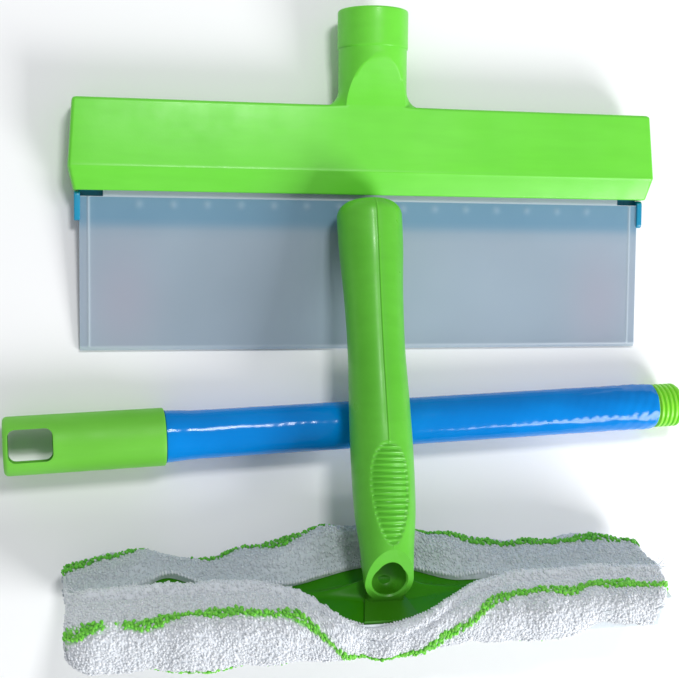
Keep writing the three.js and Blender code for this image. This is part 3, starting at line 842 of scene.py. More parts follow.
@dataclass
class SqueegeeHead:
    """X along the blade, Y from the wiping edge to the socket, Z square to the blade's face."""

    place: Place
    shell_length: float = 280.0
    lip_at: float = 72.0
    ridge_at: float = 82.5
    top_at: float = 113.0
    socket_end_at: float = 157.5
    lip_half: float = 5.7
    ridge_half: float = 9.0
    ridge_bead: float = 0.22
    top_half: float = 7.5
    rake_at_lip: float = 2.4
    rake_at_top: float = 1.8
    wall: float = 2.0
    edge_round: float = 1.6
    corner_round: float = 1.5
    socket_radius: float = 16.0
    collar_radius: float = 16.5
    collar_length: float = 17.5
    bore_radius: float = 11.0
    floor_at: float = 128.0
    cone_depth: float = 9.0
    facet_apex_at: float = 135.0
    fillet: float = 8.0
    thread_pitch: float = 2.4
    thread_depth: float = 0.9
    blade_half: float = 135.0
    blade_thickness: float = 2.6
    blade_bevel: float = 1.5
    wiping_edge: float = 1.0
    shoulder_at: float = 69.5
    tongue_half: float = 124.5
    tongue_end_at: float = 101.5
    bead_inset: float = 4.0
    holder_half: float = 135.3
    holder_wall: float = 1.8
    holder_edge_at: float = 58.5
    holder_back_at: float = 103.6
    front_leg_at: float = 78.0
    tab_thickness: float = 2.0
    peg_radius: float = 1.8
    peg_pitch: float = 15.5
    peg_at: float = 66.0
    pegs_each_side: int = 7

    WEB_COLUMNS = 8
    FACE_COLUMNS = 12
    CORNER_COLUMNS = 8
    SIDE_COLUMNS = 4

    def web_half(self) -> float:
        """Half of the flat web's width where it meets the shell's top."""
        return math.sqrt(self.socket_radius ** 2 - self.top_half ** 2)

    def around(self, quarter: Array, y: float) -> Array:
        """A whole ring by mirroring a quarter of it in X and in Z.

        Args:
            quarter: X and Z from the middle of the face to the side.
            y: where the ring lies.

        Returns:
            Points by three.
        """
        upper = np.concatenate([quarter[::-1], quarter[1:] * [-1, 1]])
        whole = np.concatenate([upper, upper[-2:0:-1] * [1, -1]])
        return np.column_stack([whole[:, 0], np.full(len(whole), y), whole[:, 1]])

    def body_quarter(self, half_width: float, half_height: float) -> Array:
        """A quarter of the shell's section: the web's width, the face, a round corner, the side.

        Args:
            half_width: half of the section along X.
            half_height: half of it along Z.

        Returns:
            X and Z of each column.
        """
        radius = min(self.corner_round, half_height * 0.8)
        web = np.linspace(0.0, self.web_half(), self.WEB_COLUMNS + 1)
        face = np.linspace(self.web_half(), half_width - radius, self.FACE_COLUMNS + 1)[1:]
        angle = np.linspace(0.0, math.pi / 2, self.CORNER_COLUMNS + 1)[1:]
        across = np.concatenate([web, face, half_width - radius * (1 - np.sin(angle)),
                                 np.full(self.SIDE_COLUMNS, half_width)])
        flat = np.full(len(web) + len(face), half_height)
        side = np.linspace(half_height - radius, 0.0, self.SIDE_COLUMNS + 1)[1:]
        return np.column_stack([across, np.concatenate(
            [flat, half_height - radius * (1 - np.cos(angle)), side])])

    def barrel_angles(self, web_height: float) -> Array:
        """Angles from the middle of the face: the web's columns, then the rest of the quarter.

        Args:
            web_height: how high the flat web stands.

        Returns:
            One angle for each column, from the upper side.
        """
        edge = max(math.acos(min(web_height / self.socket_radius, 1.0)), math.radians(12))
        inner = np.arcsin(np.linspace(0.0, math.sin(edge), self.WEB_COLUMNS + 1))
        rest = self.FACE_COLUMNS + self.CORNER_COLUMNS + self.SIDE_COLUMNS
        return np.concatenate([inner, np.linspace(edge, math.pi / 2, rest + 1)[1:]])

    def barrel_quarter(self, y: float, radius: float, spread: float = 0.0) -> Array:
        """A quarter of the socket's section: a circle cut flat by the web, spread at its sides.

        The web leaves the shell's face gently: it climbs by the share of its run to the power 1.5.

        Args:
            y: where the ring lies.
            radius: of the circle.
            spread: added to X at the sides.

        Returns:
            X and Z of each column.
        """
        share = max(y - self.top_at, 0) / (self.facet_apex_at - self.top_at)
        web_height = self.top_half + (self.socket_radius - self.top_half) * share ** 1.5
        angle = self.barrel_angles(web_height)
        beyond = eased((angle - angle[self.WEB_COLUMNS]) / math.radians(22))
        return np.column_stack([radius * np.sin(angle) + spread * beyond,
                                np.minimum(radius * np.cos(angle), web_height)])

    def shell_rings(self) -> Array:
        """Rings from the cavity's end out over the lip, up the shell, up the socket and into it."""
        half = self.shell_length / 2
        cavity = half - self.rake_at_lip - self.wall
        stations = np.array([
            [self.top_at - self.wall, cavity, self.top_half - self.wall],
            [self.ridge_at, cavity, self.ridge_half - self.wall],
            [self.lip_at + 1, cavity, self.lip_half - self.wall],
            [self.lip_at, cavity, self.lip_half - self.wall],
            [self.lip_at, half - self.rake_at_lip, self.lip_half],
            [self.ridge_at - 0.9, half - 0.2, self.ridge_half - 0.15],
            [self.ridge_at, half, self.ridge_half + self.ridge_bead],
            [self.ridge_at + 0.9, half, self.ridge_half],
            [self.top_at - self.edge_round, half - self.rake_at_top, self.top_half]])
        eased_path = softened(stations, 0.9, 5)
        rings = [self.around(self.body_quarter(w, h), y) for y, w, h in eased_path]
        web_share = 1 - eased((self.body_quarter(half, self.top_half)[:, 0] - self.web_half()) / 12)
        for angle in np.radians([20, 40, 60, 75, 90]):
            drop = self.edge_round * (1 - math.cos(angle))
            quarter = self.body_quarter(half - self.rake_at_top - drop, self.top_half - drop)
            quarter[:, 1] += drop * web_share * (quarter[:, 1] > self.top_half / 2)
            rings.append(self.around(quarter, self.top_at - self.edge_round * (1 - math.sin(angle))))
        outer = rings[-1]
        foot = self.around(self.barrel_quarter(self.top_at, self.socket_radius, self.fillet),
                           self.top_at)
        rings += [outer + (foot - outer) * t for t in (0.35, 0.7)]
        for angle in np.radians(np.linspace(0, 90, 9)):
            y = self.top_at + self.fillet * (1 - math.cos(angle))
            spread = self.fillet * (1 - math.sin(angle))
            rings.append(self.around(self.barrel_quarter(y, self.socket_radius, spread), y))
        collar_at = self.socket_end_at - self.collar_length
        for y in np.linspace(self.top_at + self.fillet + 1.5, collar_at - 0.9, 10):
            rings.append(self.around(self.barrel_quarter(y, self.socket_radius), y))
        rims = softened(np.array([
            [collar_at - 0.5, self.socket_radius, 0], [collar_at - 0.1, self.collar_radius, 0],
            [self.socket_end_at - 8, self.collar_radius, 0],
            [self.socket_end_at, self.collar_radius, 0],
            [self.socket_end_at, self.bore_radius, 0],
            [self.socket_end_at - 1.5, self.bore_radius, 0]]), 1.1, 5)
        rings += [self.around(self.barrel_quarter(y, r) if y < self.socket_end_at - 9
                              else self.circle_quarter(r), y) for y, r, _ in rims]
        return np.stack(rings + self.bore_rings())

    def circle_quarter(self, radius: float) -> Array:
        """A quarter of a plain circle with the socket's columns."""
        angle = self.barrel_angles(self.socket_radius)
        return radius * np.column_stack([np.sin(angle), np.cos(angle)])

    def bore_rings(self) -> list:
        """The threaded bore: the radius grows by a ridge that climbs one pitch in each turn."""
        rings = []
        for y in np.arange(self.socket_end_at - 1.9, self.floor_at + 12, -0.4):
            ring = self.around(self.circle_quarter(self.bore_radius), y)
            turn = y / self.thread_pitch + np.arctan2(ring[:, 2], ring[:, 0]) / (2 * math.pi)
            grow = 1 + self.thread_depth / self.bore_radius * eased(2 * np.abs(turn % 1 - 0.5))
            rings.append(ring * np.column_stack([grow, np.ones_like(grow), grow]))
        for y, radius in ((self.floor_at + 11, self.bore_radius), (self.floor_at, self.bore_radius),
                          (self.floor_at - self.cone_depth, 5.0)):
            rings.append(self.around(self.circle_quarter(radius), y))
        return rings

    def shell(self) -> None:
        """The green shell with its socket, in one skin."""
        surface = swept(self.shell_rings(), Cap.LADDER, Cap.FAN)
        settle(build("squeegee_shell", surface, self.place, 50.0), GREEN, "squeegee_head",
               "green_plastic", "head_shell")

    def blade(self) -> None:
        """The silicone blade: bevelled wiping edge, a bead inside each end, a narrower tongue.

        The face is a height over a grid of X and Y. The wiping edge slopes over the bevel, and the
        beads and the skin over each peg are low bells.
        """
        half, tongue = self.blade_half, self.tongue_half
        bead = half - self.bead_inset
        x = np.unique(np.round(np.concatenate([
            np.linspace(-tongue, tongue, 361), bead + np.linspace(-1.2, 1.2, 9),
            -bead + np.linspace(-1.2, 1.2, 9), [-half, -half + 0.5, half - 0.5, half,
                                                tongue + 3, -tongue - 3]]), 4))
        y = np.unique(np.round(np.concatenate([
            [0.0, 0.5, 1.0, self.blade_bevel, 2.4], np.linspace(6, 58, 14),
            np.linspace(60, self.shoulder_at - 0.4, 15), [self.shoulder_at, 75.0, 85.0],
            [self.tongue_end_at]]), 4))
        gx, gy = np.meshgrid(x, y, indexing="ij")
        slope = np.clip(gy / self.blade_bevel, 0, 1)
        level = self.wiping_edge / 2 + (self.blade_thickness - self.wiping_edge) / 2 * slope
        on_face = (gy > self.blade_bevel) & (gy < self.shoulder_at)
        beads_there = hump((np.abs(gx) - bead) / 0.55) * on_face
        offset = (gx + self.peg_pitch / 2) % self.peg_pitch - self.peg_pitch / 2
        reach = np.hypot(offset, gy - self.peg_at)
        pegs_there = hump(reach / 1.6) * (np.abs(gx) < self.peg_pitch * (self.pegs_each_side + 0.4))
        top = level + 0.4 * beads_there + 0.22 * pegs_there
        rows, columns = gx.shape
        upper = np.stack([gx, gy, top], axis=-1).reshape(-1, 3)
        lower = np.stack([gx, gy, -level], axis=-1).reshape(-1, 3)
        index = np.arange(rows * columns).reshape(rows, columns)
        centre_x, centre_y = (gx[:-1, :-1] + gx[1:, 1:]) / 2, (gy[:-1, :-1] + gy[1:, 1:]) / 2
        inside = (centre_y < self.shoulder_at) | (np.abs(centre_x) < tongue)
        cells = np.stack([index[:-1, :-1], index[1:, :-1], index[1:, 1:], index[:-1, 1:]],
                         axis=-1)[inside]
        sides = np.concatenate([cells[:, [i, (i + 1) % 4]] for i in range(4)])
        keys = np.sort(sides, axis=1) @ [rows * columns, 1]
        _, first, counts = np.unique(keys, return_index=True, return_counts=True)
        rim = sides[first[counts == 1]]
        under = len(upper)
        walls = np.column_stack([rim[:, 1], rim[:, 0], rim[:, 0] + under, rim[:, 1] + under])
        quads = np.concatenate([cells, cells[:, ::-1] + under, walls])
        used, compact = np.unique(quads, return_inverse=True)
        surface = Surface(np.concatenate([upper, lower])[used], compact.reshape(quads.shape))
        piece = build("wiper_blade_silicone", surface.outward(), self.place, 30.0)
        covered = hump(np.clip(self.holder_edge_at + 1 - surface.points[:, 1], 0, None) / 4)
        # Painted reflection: a warm pink near both ends of the blade.
        numbered(piece, "painted_warm_reflection", 0.45 * hump((np.abs(surface.points[:, 0]) - 116) / 16)
                 * hump((surface.points[:, 1] - 22) / 26))
        # Painted highlight: paler along the wiping edge, over the end beads, over the pegs and along
        # the shoulder.
        edge = np.maximum(np.where(surface.points[:, 1] < self.blade_bevel + 0.2, 1.0, 0.0),
                          hump((np.abs(surface.points[:, 0]) - bead) / 0.7))
        past = np.concatenate([pegs_there.ravel(), pegs_there.ravel()])[used]
        shoulder = np.where(surface.points[:, 1] > self.shoulder_at - 0.1, 1.0, 0.0)
        numbered(piece, "backed", covered * (1 - shoulder) * 0.7)
        numbered(piece, "edge", np.clip(edge * 0.6 + past * 0.22 + shoulder * 0.7, 0, 1))
        settle(piece, MilkySilicone(), "blade_cartridge", "silicone", "wiper_blade")

    def holder(self) -> None:
        """The blue channel: a folded strip along X, with end tabs and a row of round pegs."""
        near = self.blade_thickness / 2 + GAP
        far = near + self.holder_wall
        back = self.holder_back_at
        section = softened(np.array([
            [self.holder_edge_at, -far, 0], [back, -far, 0], [back, far, 0],
            [self.front_leg_at, far, 0], [self.front_leg_at, near, 0],
            [back - self.holder_wall, near, 0], [back - self.holder_wall, -near, 0],
            [self.holder_edge_at, -near, 0]]), 0.6, 4)[:, :2]
        loop = np.concatenate([[[self.holder_edge_at - 0.3, -(near + far) / 2]], section])
        loop = np.insert(loop, len(section) // 2 + 1, [self.front_leg_at - 0.3, (near + far) / 2],
                         axis=0)
        ends = np.array([-self.holder_half, -self.holder_half * 0.5, 0, self.holder_half * 0.5,
                         self.holder_half])
        rings = np.stack([np.column_stack([np.full(len(loop), x), loop]) for x in ends])
        channel = build("blade_holder_blue", swept(rings, Cap.LADDER, Cap.LADDER), self.place)
        tabs = []
        for side in (-1, 1):
            inner, outer = side * (self.holder_half - 0.6), side * (self.holder_half
                                                                    + self.tab_thickness)
            tabs.append(self.tab(min(inner, outer), max(inner, outer), -far,
                                 self.blade_thickness / 2 + 1.1))
        for i in range(-self.pegs_each_side, self.pegs_each_side + 1):
            tabs.append(self.peg(i * self.peg_pitch, -far + 0.5, self.blade_thickness / 2 - 0.4))
        extras = build("holder_extras", Surface.joined(*tabs), self.place)
        settle(combined(channel, extras, Join.UNION), BLUE, "blade_cartridge", "blue_plastic",
               "blade_holder")

    def tab(self, x0: float, x1: float, z0: float, z1: float) -> Surface:
        """An end tab, a block with round corners.

        Args:
            x0: its lowest X.
            x1: its highest X.
            z0: its lowest Z.
            z1: its highest Z.

        Returns:
            The closed surface.
        """
        flat = rounded_block(np.array([self.holder_edge_at, z0, x0]),
                             np.array([self.lip_at - GAP, z1, x1]), 1.9, 0.4)
        return Surface(flat.points[:, [2, 0, 1]], flat.quads, flat.triangles)

    def peg(self, x: float, z0: float, z1: float) -> Surface:
        """A peg with a round tip.

        Args:
            x: where it stands along the blade.
            z0: its foot.
            z1: its tip.

        Returns:
            The closed surface.
        """
        heights = np.array([z0, z1 - 0.5, z1 - 0.15, z1])
        radii = np.array([self.peg_radius, self.peg_radius, self.peg_radius - 0.15,
                          self.peg_radius - 0.5])
        rings = turned(radii, heights, 20)
        return swept(np.stack([rings[..., 1] + x, -rings[..., 2] + self.peg_at, rings[..., 0]],
                              axis=-1))

    def make(self) -> None:
        """Builds the whole head."""
        self.shell()
        self.holder()
        self.blade()


# --- Pole ---------------------------------------------------------------------------------------

@dataclass
class Pole:
    """X along the pole's axis, from the hanging cap to the thread."""

    place: Place
    film_radius: float = 11.0
    film_thickness: float = 0.4
    tube_start: float = 38.0
    tube_end: float = 307.5
    cap_length: float = 70.0
    cap_radius: float = 13.0
    cap_end_wall: float = 2.0
    cap_edge: float = 2.5
    grip_radius: float = 11.3
    slot_length: float = 19.2
    slot_width: float = 14.4
    slot_corner: float = 3.4
    thread_radius: float = 10.5
    thread_length: float = 14.0
    thread_pitch: float = 2.4
    thread_depth: float = 1.1
    plug_radius: float = 9.2
    plug_length: float = 22.0
    tip_round: float = 2.6
    flare: float = 0.75
    sides: int = 96

    def film(self) -> None:
        """The film: a tube that bells out at the cap and puckers near its free end.

        The radius is the plain one, plus a bell that fades along the tube, plus shallow waves round
        the tube that grow towards the ends, less a turned-in lip at the very end.
        """
        x = np.concatenate([np.linspace(self.tube_start, self.cap_length, 6),
                            np.linspace(self.cap_length + 0.4, self.tube_end, 260)])
        angle = np.linspace(0.0, 2 * math.pi, self.sides, endpoint=False)
        past_cap = x - self.cap_length
        bell = self.flare * hump(np.clip(past_cap - 1, 0, None) / 8) * (past_cap > 0.3)
        to_end = self.tube_end - x
        near_end = np.exp(-to_end / 16)[:, None]
        waves = (np.sin(5 * angle + x[:, None] * 0.33) * np.sin(x[:, None] * 0.9 + 2 * angle)
                 + 0.6 * np.sin(9 * angle - x[:, None] * 0.21))
        ruck = 0.22 * near_end * waves + 0.035 * waves * (past_cap > 0.3)[:, None]
        creases = 0.16 * hump((np.sin(2 * angle + 0.16 * x[:, None])) / 0.12) * near_end
        lip = 0.35 * hump(to_end / 0.8)[:, None]
        lift = np.minimum(ruck + creases, 0.3) - lip
        outer = turned(self.film_radius + bell, x, self.sides, lift)
        inner = turned(np.full(2, self.film_radius - self.film_thickness), x[[-1, 0]], self.sides)
        rings = np.concatenate([outer, inner])
        quads = ring_quads(len(rings), self.sides)
        last = np.arange(self.sides) + (len(rings) - 1) * self.sides
        first = np.arange(self.sides)
        close = np.stack([last, np.roll(last, -1), np.roll(first, -1), first], axis=1)
        surface = Surface(rings.reshape(-1, 3), np.concatenate([quads, close])).outward()
        settle(build("pole_film_blue", surface, self.place, 45.0), ShrunkFilm(), "pole", "blue_film",
               "pole_film")

    def tip(self) -> None:
        """The threaded plug: its radius rises by a ridge that climbs one pitch in each turn."""
        start = self.tube_end + GAP
        end = start + self.thread_length
        x = np.arange(start + 0.3, end - 0.05, 0.2)
        angle = np.linspace(0.0, 2 * math.pi, self.sides, endpoint=False)
        turn = (x[:, None] - start) / self.thread_pitch - angle / (2 * math.pi)
        ridge = eased(1.6 * (1 - 2 * np.abs(turn % 1 - 0.5)))
        fade = eased((x - start) / 1.2)[:, None] * eased((end - x) / 2.4)[:, None]
        root = self.thread_radius - self.thread_depth
        outer = turned(root - self.tip_round * drawn_in(end - x, self.tip_round), x, self.sides,
                       self.thread_depth * ridge * fade)
        plug = turned(np.array([self.plug_radius - 0.6, self.plug_radius, self.plug_radius, root]),
                      np.array([self.tube_end - self.plug_length, self.tube_end - self.plug_length
                                + 0.6, start - 0.05, start]), self.sides)
        nose = turned(np.array([root - self.tip_round - 0.6]), np.array([end]), self.sides)
        surface = swept(np.concatenate([plug, outer, nose]))
        settle(build("threaded_tip_green", surface, self.place, 60.0), THREAD_GREEN, "pole",
               "thread_plastic", "threaded_tip")

    def cap(self) -> None:
        """The hollow cap, turned from one profile and cut across by a round-cornered slot."""
        ledge = self.tube_start - GAP
        inner = self.grip_radius - 1.5
        profile = softened(np.array([
            [0, self.cap_radius - 7, 0], [0, self.cap_radius, 0],
            [self.cap_length, self.cap_radius, 0], [self.cap_length, self.grip_radius, 0],
            [ledge, self.grip_radius, 0], [ledge, inner, 0], [self.cap_end_wall, inner, 0],
            [self.cap_end_wall, 4, 0]]), self.cap_edge, 7)
        sharp_mouth = np.abs(profile[:, 0] - self.cap_length) < self.cap_edge
        profile[:, 0] = np.where(sharp_mouth & (profile[:, 1] > self.cap_radius - 0.8),
                                 self.cap_length - (self.cap_length - profile[:, 0]) * 0.4,
                                 profile[:, 0])
        long_run = np.linspace(0, 1, 24)[1:-1, None]
        at = int(np.argmax(np.diff(profile[:, 0])))
        filled = profile[at] + (profile[at + 1] - profile[at]) * long_run
        profile = np.concatenate([profile[:at + 1], filled, profile[at + 1:]])
        body = build("hang_cap_green", swept(turned(profile[:, 1], profile[:, 0], self.sides)),
                     self.place)
        loop = rounded_loop(self.cap_end_wall, self.cap_end_wall + self.slot_length,
                            -self.slot_width / 2, self.slot_width / 2, self.slot_corner, 9)
        reach = self.cap_radius * 1.5
        through = np.stack([at_height(loop, z) for z in (-reach, reach)])
        tool = build("slot", swept(through, Cap.LADDER, Cap.LADDER), self.place)
        piece = combined(body, tool, Join.CUT, 40.0)
        bevelled(piece, 0.8, 48)
        settle(piece, CAP_GREEN, "pole", "cap_plastic", "hang_cap")

    def make(self) -> None:
        """Builds the pole, and dresses the steel tube that the film hides."""
        self.film()
        self.tip()
        self.cap()
        tube_node = frame["nodes"]["pole_tube"]
        tube_node.data.materials.clear()
        tube_node.data.materials.append(PlainSteel().material())


# --- Washer -------------------------------------------------------------------------------------

@dataclass
class WasherHandle:
    """The grip, neck and foot: origin on the bar's top face, Y across the bar, Z square to it."""

    place: Place
    angle: float = 52.0
    length: float = 170.0
    start: float = 9.0
    hole_y: float = -9.7
    hole_z: float = 12.2
    hole_radius: float = 7.75
    face_y: float = -11.5
    end_wall: float = 9.0
    end_round: float = 7.0
    radii: tuple = ((0, 11), (14, 12), (26, 13.3), (48, 14), (75, 13.7), (103, 13), (128, 13.6),
                    (150, 14.8), (163, 15))
    pad_at: float = 36.5
    pad_half_length: float = 23.0
    pad_half_width: float = 9.2
    rib_pitch: float = 2.5
    rib_depth: float = 0.95
    pad_depth: float = 0.3
    seam_height: float = 0.28
    root_round: float = 11.2
    neck_half: float = 8.0
    neck_back_y: float = 4.0
    neck_setback: float = 0.07  # keeps the neck's front out of the plane of the grip's flat face
    foot_thickness: float = 1.5
    foot_front_half: float = 13.0
    foot_front_y: float = -24.4

    def axes(self) -> tuple:
        """The grip's root, its direction, its side and its upper side."""
        lean = math.radians(self.angle)
        along = np.array([0.0, math.cos(lean), math.sin(lean)])
        upper = np.array([0.0, -math.sin(lean), math.cos(lean)])
        return np.array([0.0, self.hole_y, self.hole_z]), along, np.array([1.0, 0.0, 0.0]), upper

    def laid(self, radius: Array, distance: Array, turn: Array) -> Array:
        """Points round the grip: root + u along + r cos(t) side + r sin(t) upper.

        Args:
            radius: r, how far each point is from the grip's axis.
            distance: u, how far along the grip it lies.
            turn: t, its angle round the axis.

        Returns:
            The points.
        """
        root, along, side, upper = self.axes()
        return (root + distance[..., None] * along + (radius * np.cos(turn))[..., None] * side
                + (radius * np.sin(turn))[..., None] * upper)

    def grip_radius(self, distance: Array) -> Array:
        """The plain radius: cubic curves through the listed radii, a blunt end and a ball's root.

        Args:
            distance: along the grip from its root.

        Returns:
            One radius for each distance.
        """
        at, size = np.array(self.radii, float).T
        slope = np.gradient(size, at)
        i = np.clip(np.searchsorted(at, distance) - 1, 0, len(at) - 2)
        step = at[i + 1] - at[i]
        t = np.clip((distance - at[i]) / step, 0, 1)
        curve = ((2 * t ** 3 - 3 * t ** 2 + 1) * size[i] + (t ** 3 - 2 * t ** 2 + t) * step * slope[i]
                 + (3 * t ** 2 - 2 * t ** 3) * size[i + 1] + (t ** 3 - t ** 2) * step * slope[i + 1])
        ends = self.end_round * drawn_in(self.length - distance, self.end_round)
        below = np.clip(-distance / self.root_round, 0, 0.98)
        return curve - ends - self.root_round * (1 - np.sqrt(1 - below ** 2))

    def grip_rings(self) -> Array:
        """The grip's skin with its seam and its ribbed thumb pad.

        The pad is an egg-shaped patch. In it the radius drops by a little, and by the ribs, a
        raised cosine along the grip. The seam is a low bell at the top that stops at the pad.
        """
        top = math.pi / 2
        fine = np.linspace(-0.09, 0.09, 13)
        pad = np.linspace(0.13, 0.85, 15)
        rest = np.linspace(0.95, 2 * math.pi - 0.95, 46)
        turn = top + np.concatenate([fine, pad, rest, 2 * math.pi - pad[::-1]])
        distance = np.concatenate([np.linspace(-self.start, 9, 14), np.linspace(10, 62, 190),
                                   np.linspace(64, 162, 50),
                                   self.length - self.end_round * (1 - np.sin(
                                       np.linspace(0.06, math.pi / 2, 10)))])
        u, t = np.meshgrid(distance, turn, indexing="ij")
        radius = self.grip_radius(u)
        across = (np.mod(t - top + math.pi, 2 * math.pi) - math.pi) * radius
        along_pad = (u - self.pad_at) / self.pad_half_length
        width = self.pad_half_width * (1 + 0.22 * along_pad)
        patch = eased((1 - along_pad ** 2 - (across / width) ** 2) * 4.5)
        ribs = 0.5 - 0.5 * np.cos(2 * math.pi * (u - self.pad_at) / self.rib_pitch)
        radius -= patch * (self.pad_depth + self.rib_depth * ribs)
        seam = self.seam_height * hump(across / 0.32) * eased((u - 12) / 3) * (1 - patch)
        step = 0.12 * eased((across + 0.2) / 0.5) * eased((2.4 - across) / 2.0) * eased((u - 62) / 6)
        return self.laid(radius + seam - step, u, t)

    def neck(self) -> Surface:
        """The short neck: rounded rectangles stacked up, flaring by a quarter circle at the foot."""
        levels = np.concatenate([0.3 + 3.5 * (1 - np.cos(np.linspace(0, math.pi / 2, 8))),
                                 [6.0, 8.0, 10.0, 13.0]])
        flare = 2.2 * drawn_in(levels - 0.3, 3.5) + 2.2 * eased((levels - 4.5) / 9)
        rings = [at_height(rounded_loop(-self.neck_half - f, self.neck_half + f,
                                        self.face_y + self.neck_setback, self.neck_back_y, 2.0), z)
                 for f, z in zip(flare, levels)]
        return swept(np.stack(rings), Cap.LADDER, Cap.LADDER)

    def foot(self) -> Surface:
        """The raised tongue that spreads from the neck to the bar's front edge."""
        t = np.linspace(0, 1, 14)
        half = self.neck_half + 1.6 + (self.foot_front_half - self.neck_half - 1.6) * t
        y = self.face_y + 2 + (self.foot_front_y - self.face_y - 2) * t
        edge = np.array([[0.0, 0.2], [0.0, 1.0], [0.25, 1.5], [0.8, self.foot_thickness]])
        rings = []
        for inset, z in edge:
            left = np.column_stack([-(half - inset), y + inset * 0.5])
            right = np.column_stack([half - inset, y + inset * 0.5])[::-1]
            outline = np.concatenate([left, right])
            rings.append(at_height(outline, z))
        return swept(np.stack(rings), Cap.FAN, Cap.FAN)

    def bore(self) -> Surface:
        """The long hollow inside the grip."""
        near, far = 14.0, self.length - self.end_wall
        distance = np.concatenate([np.linspace(0, near, 15), np.linspace(near + 4, far, 20)])
        turn = np.linspace(0, 2 * math.pi, 48, endpoint=False)
        u, t = np.meshgrid(distance, turn, indexing="ij")
        return swept(self.laid(np.full(u.shape, self.hole_radius), u, t))

    def elbow(self) -> Surface:
        """The ball that joins the two hollows, a hair wider than they are."""
        rise = np.linspace(-math.pi / 2 + 0.01, math.pi / 2 - 0.01, 26)
        radius = self.hole_radius + 0.1
        rings = turned(radius * np.cos(rise), radius * np.sin(rise), 56)
        return swept(rings + [0.0, self.hole_y, self.hole_z])

    def mouth(self) -> Surface:
        """The round opening, flared by a small chamfer where it meets the flat face."""
        chamfer = 0.7
        y = np.array([self.hole_y, self.face_y + chamfer, self.face_y - 0.02, self.face_y - 12])
        radii = self.hole_radius + np.array([0.0, 0.0, chamfer, chamfer + 0.05])
        rings = turned(radii, -y, 64)
        return swept(np.stack([rings[..., 1], -rings[..., 0], rings[..., 2] + self.hole_z], axis=-1))

    def make(self) -> None:
        """Joins grip, neck and foot, cuts the flat face and bores the opening."""
        piece = build("washer_handle_green", swept(self.grip_rings()), self.place)
        keep = rounded_block(np.array([-60.0, self.face_y, 0.3]), np.array([60.0, 200.0, 220.0]),
                             1.6, 0.5)
        piece = combined(piece, build("keep", keep, self.place), Join.COMMON)
        piece = combined(piece, build("neck", self.neck(), self.place), Join.UNION)
        piece = combined(piece, build("foot", self.foot(), self.place), Join.UNION)
        for name, part in (("bore", self.bore()), ("elbow", self.elbow()), ("mouth", self.mouth())):
            piece = combined(piece, build(name, part, self.place), Join.CUT)
        shade(piece, 32.0)
        points = np.empty(len(piece.data.vertices) * 3)
        piece.data.vertices.foreach_get("co", points)
        local = self.place.local(points)
        # Painted shade: darker towards the bar and inside the opening, by the stored deep number.
        low = 1 - eased((local[:, 2] - 1.5) / 7)
        inside = np.hypot(local[:, 0], local[:, 2] - self.hole_z) < self.hole_radius + 0.3
        numbered(piece, "deep", np.clip(low + 0.5 * inside * (local[:, 1] > self.face_y + 1), 0, 1)
                 * (local[:, 1] < 12))
        settle(piece, HANDLE_GREEN, "washer", "handle_plastic", "washer_handle")


@dataclass
class WasherBar:
    """The bar: a channel open underneath, with a curved rib that runs up to the neck."""

    place: Place
    length: float = 254.0
    width: float = 50.0
    height: float = 9.0
    wall: float = 2.5
    corner: float = 6.0
    edge: float = 2.0
    rib_y: float = -2.5
    rib_height: float = 8.5
    rib_reach: float = 46.0

    def channel(self) -> Surface:
        """Levels of one rounded plan: up inside, round the rim, up outside and over the edge."""
        stations = softened(np.array([
            [-self.wall, self.wall + 4, 0], [-self.wall, self.wall, 0], [-self.height, self.wall, 0],
            [-self.height, 0, 0], [0, 0, 0], [0, self.edge * 2, 0]]), 1.6, 6)
        loops = []
        for z, inset, _ in stations:
            loop = rounded_loop(-self.length / 2 + inset, self.length / 2 - inset,
                                -self.width / 2 + inset, self.width / 2 - inset,
                                max(self.corner - inset, 0.8), 8)
            loops.append(at_height(loop, z))
        return swept(np.stack(loops), Cap.LADDER, Cap.LADDER)

    def rib(self) -> Surface:
        """A rib along X: its height falls from the neck as (1 - x / reach) cubed."""
        x = np.linspace(-self.rib_reach, self.rib_reach, 61)
        near = np.clip((np.abs(x) - 6) / (self.rib_reach - 6), 0, 1)
        height = 0.3 + self.rib_height * (1 - near) ** 3
        foot = np.linspace(-1, 1, 17)
        section = hump(foot * 2.1)
        spread = 2.2 + 0.35 * height
        y = self.rib_y + foot[None] * spread[:, None] * 1.6
        z = height[:, None] * section[None]
        upper = np.stack([np.broadcast_to(x[:, None], y.shape), y, z], axis=-1)
        lower = upper[:, ::-1] * [1, 1, 0] - [0, 0, 1.0]
        return swept(np.concatenate([upper, lower], axis=1))

    def make(self) -> None:
        """Joins the channel and the rib."""
        piece = build("washer_bar_green", self.channel(), self.place)
        piece = combined(piece, build("rib", self.rib(), self.place), Join.UNION)
        settle(piece, BAR_GREEN_IN_PAINTED_SHADE, "washer", "bar_plastic", "washer_bar")


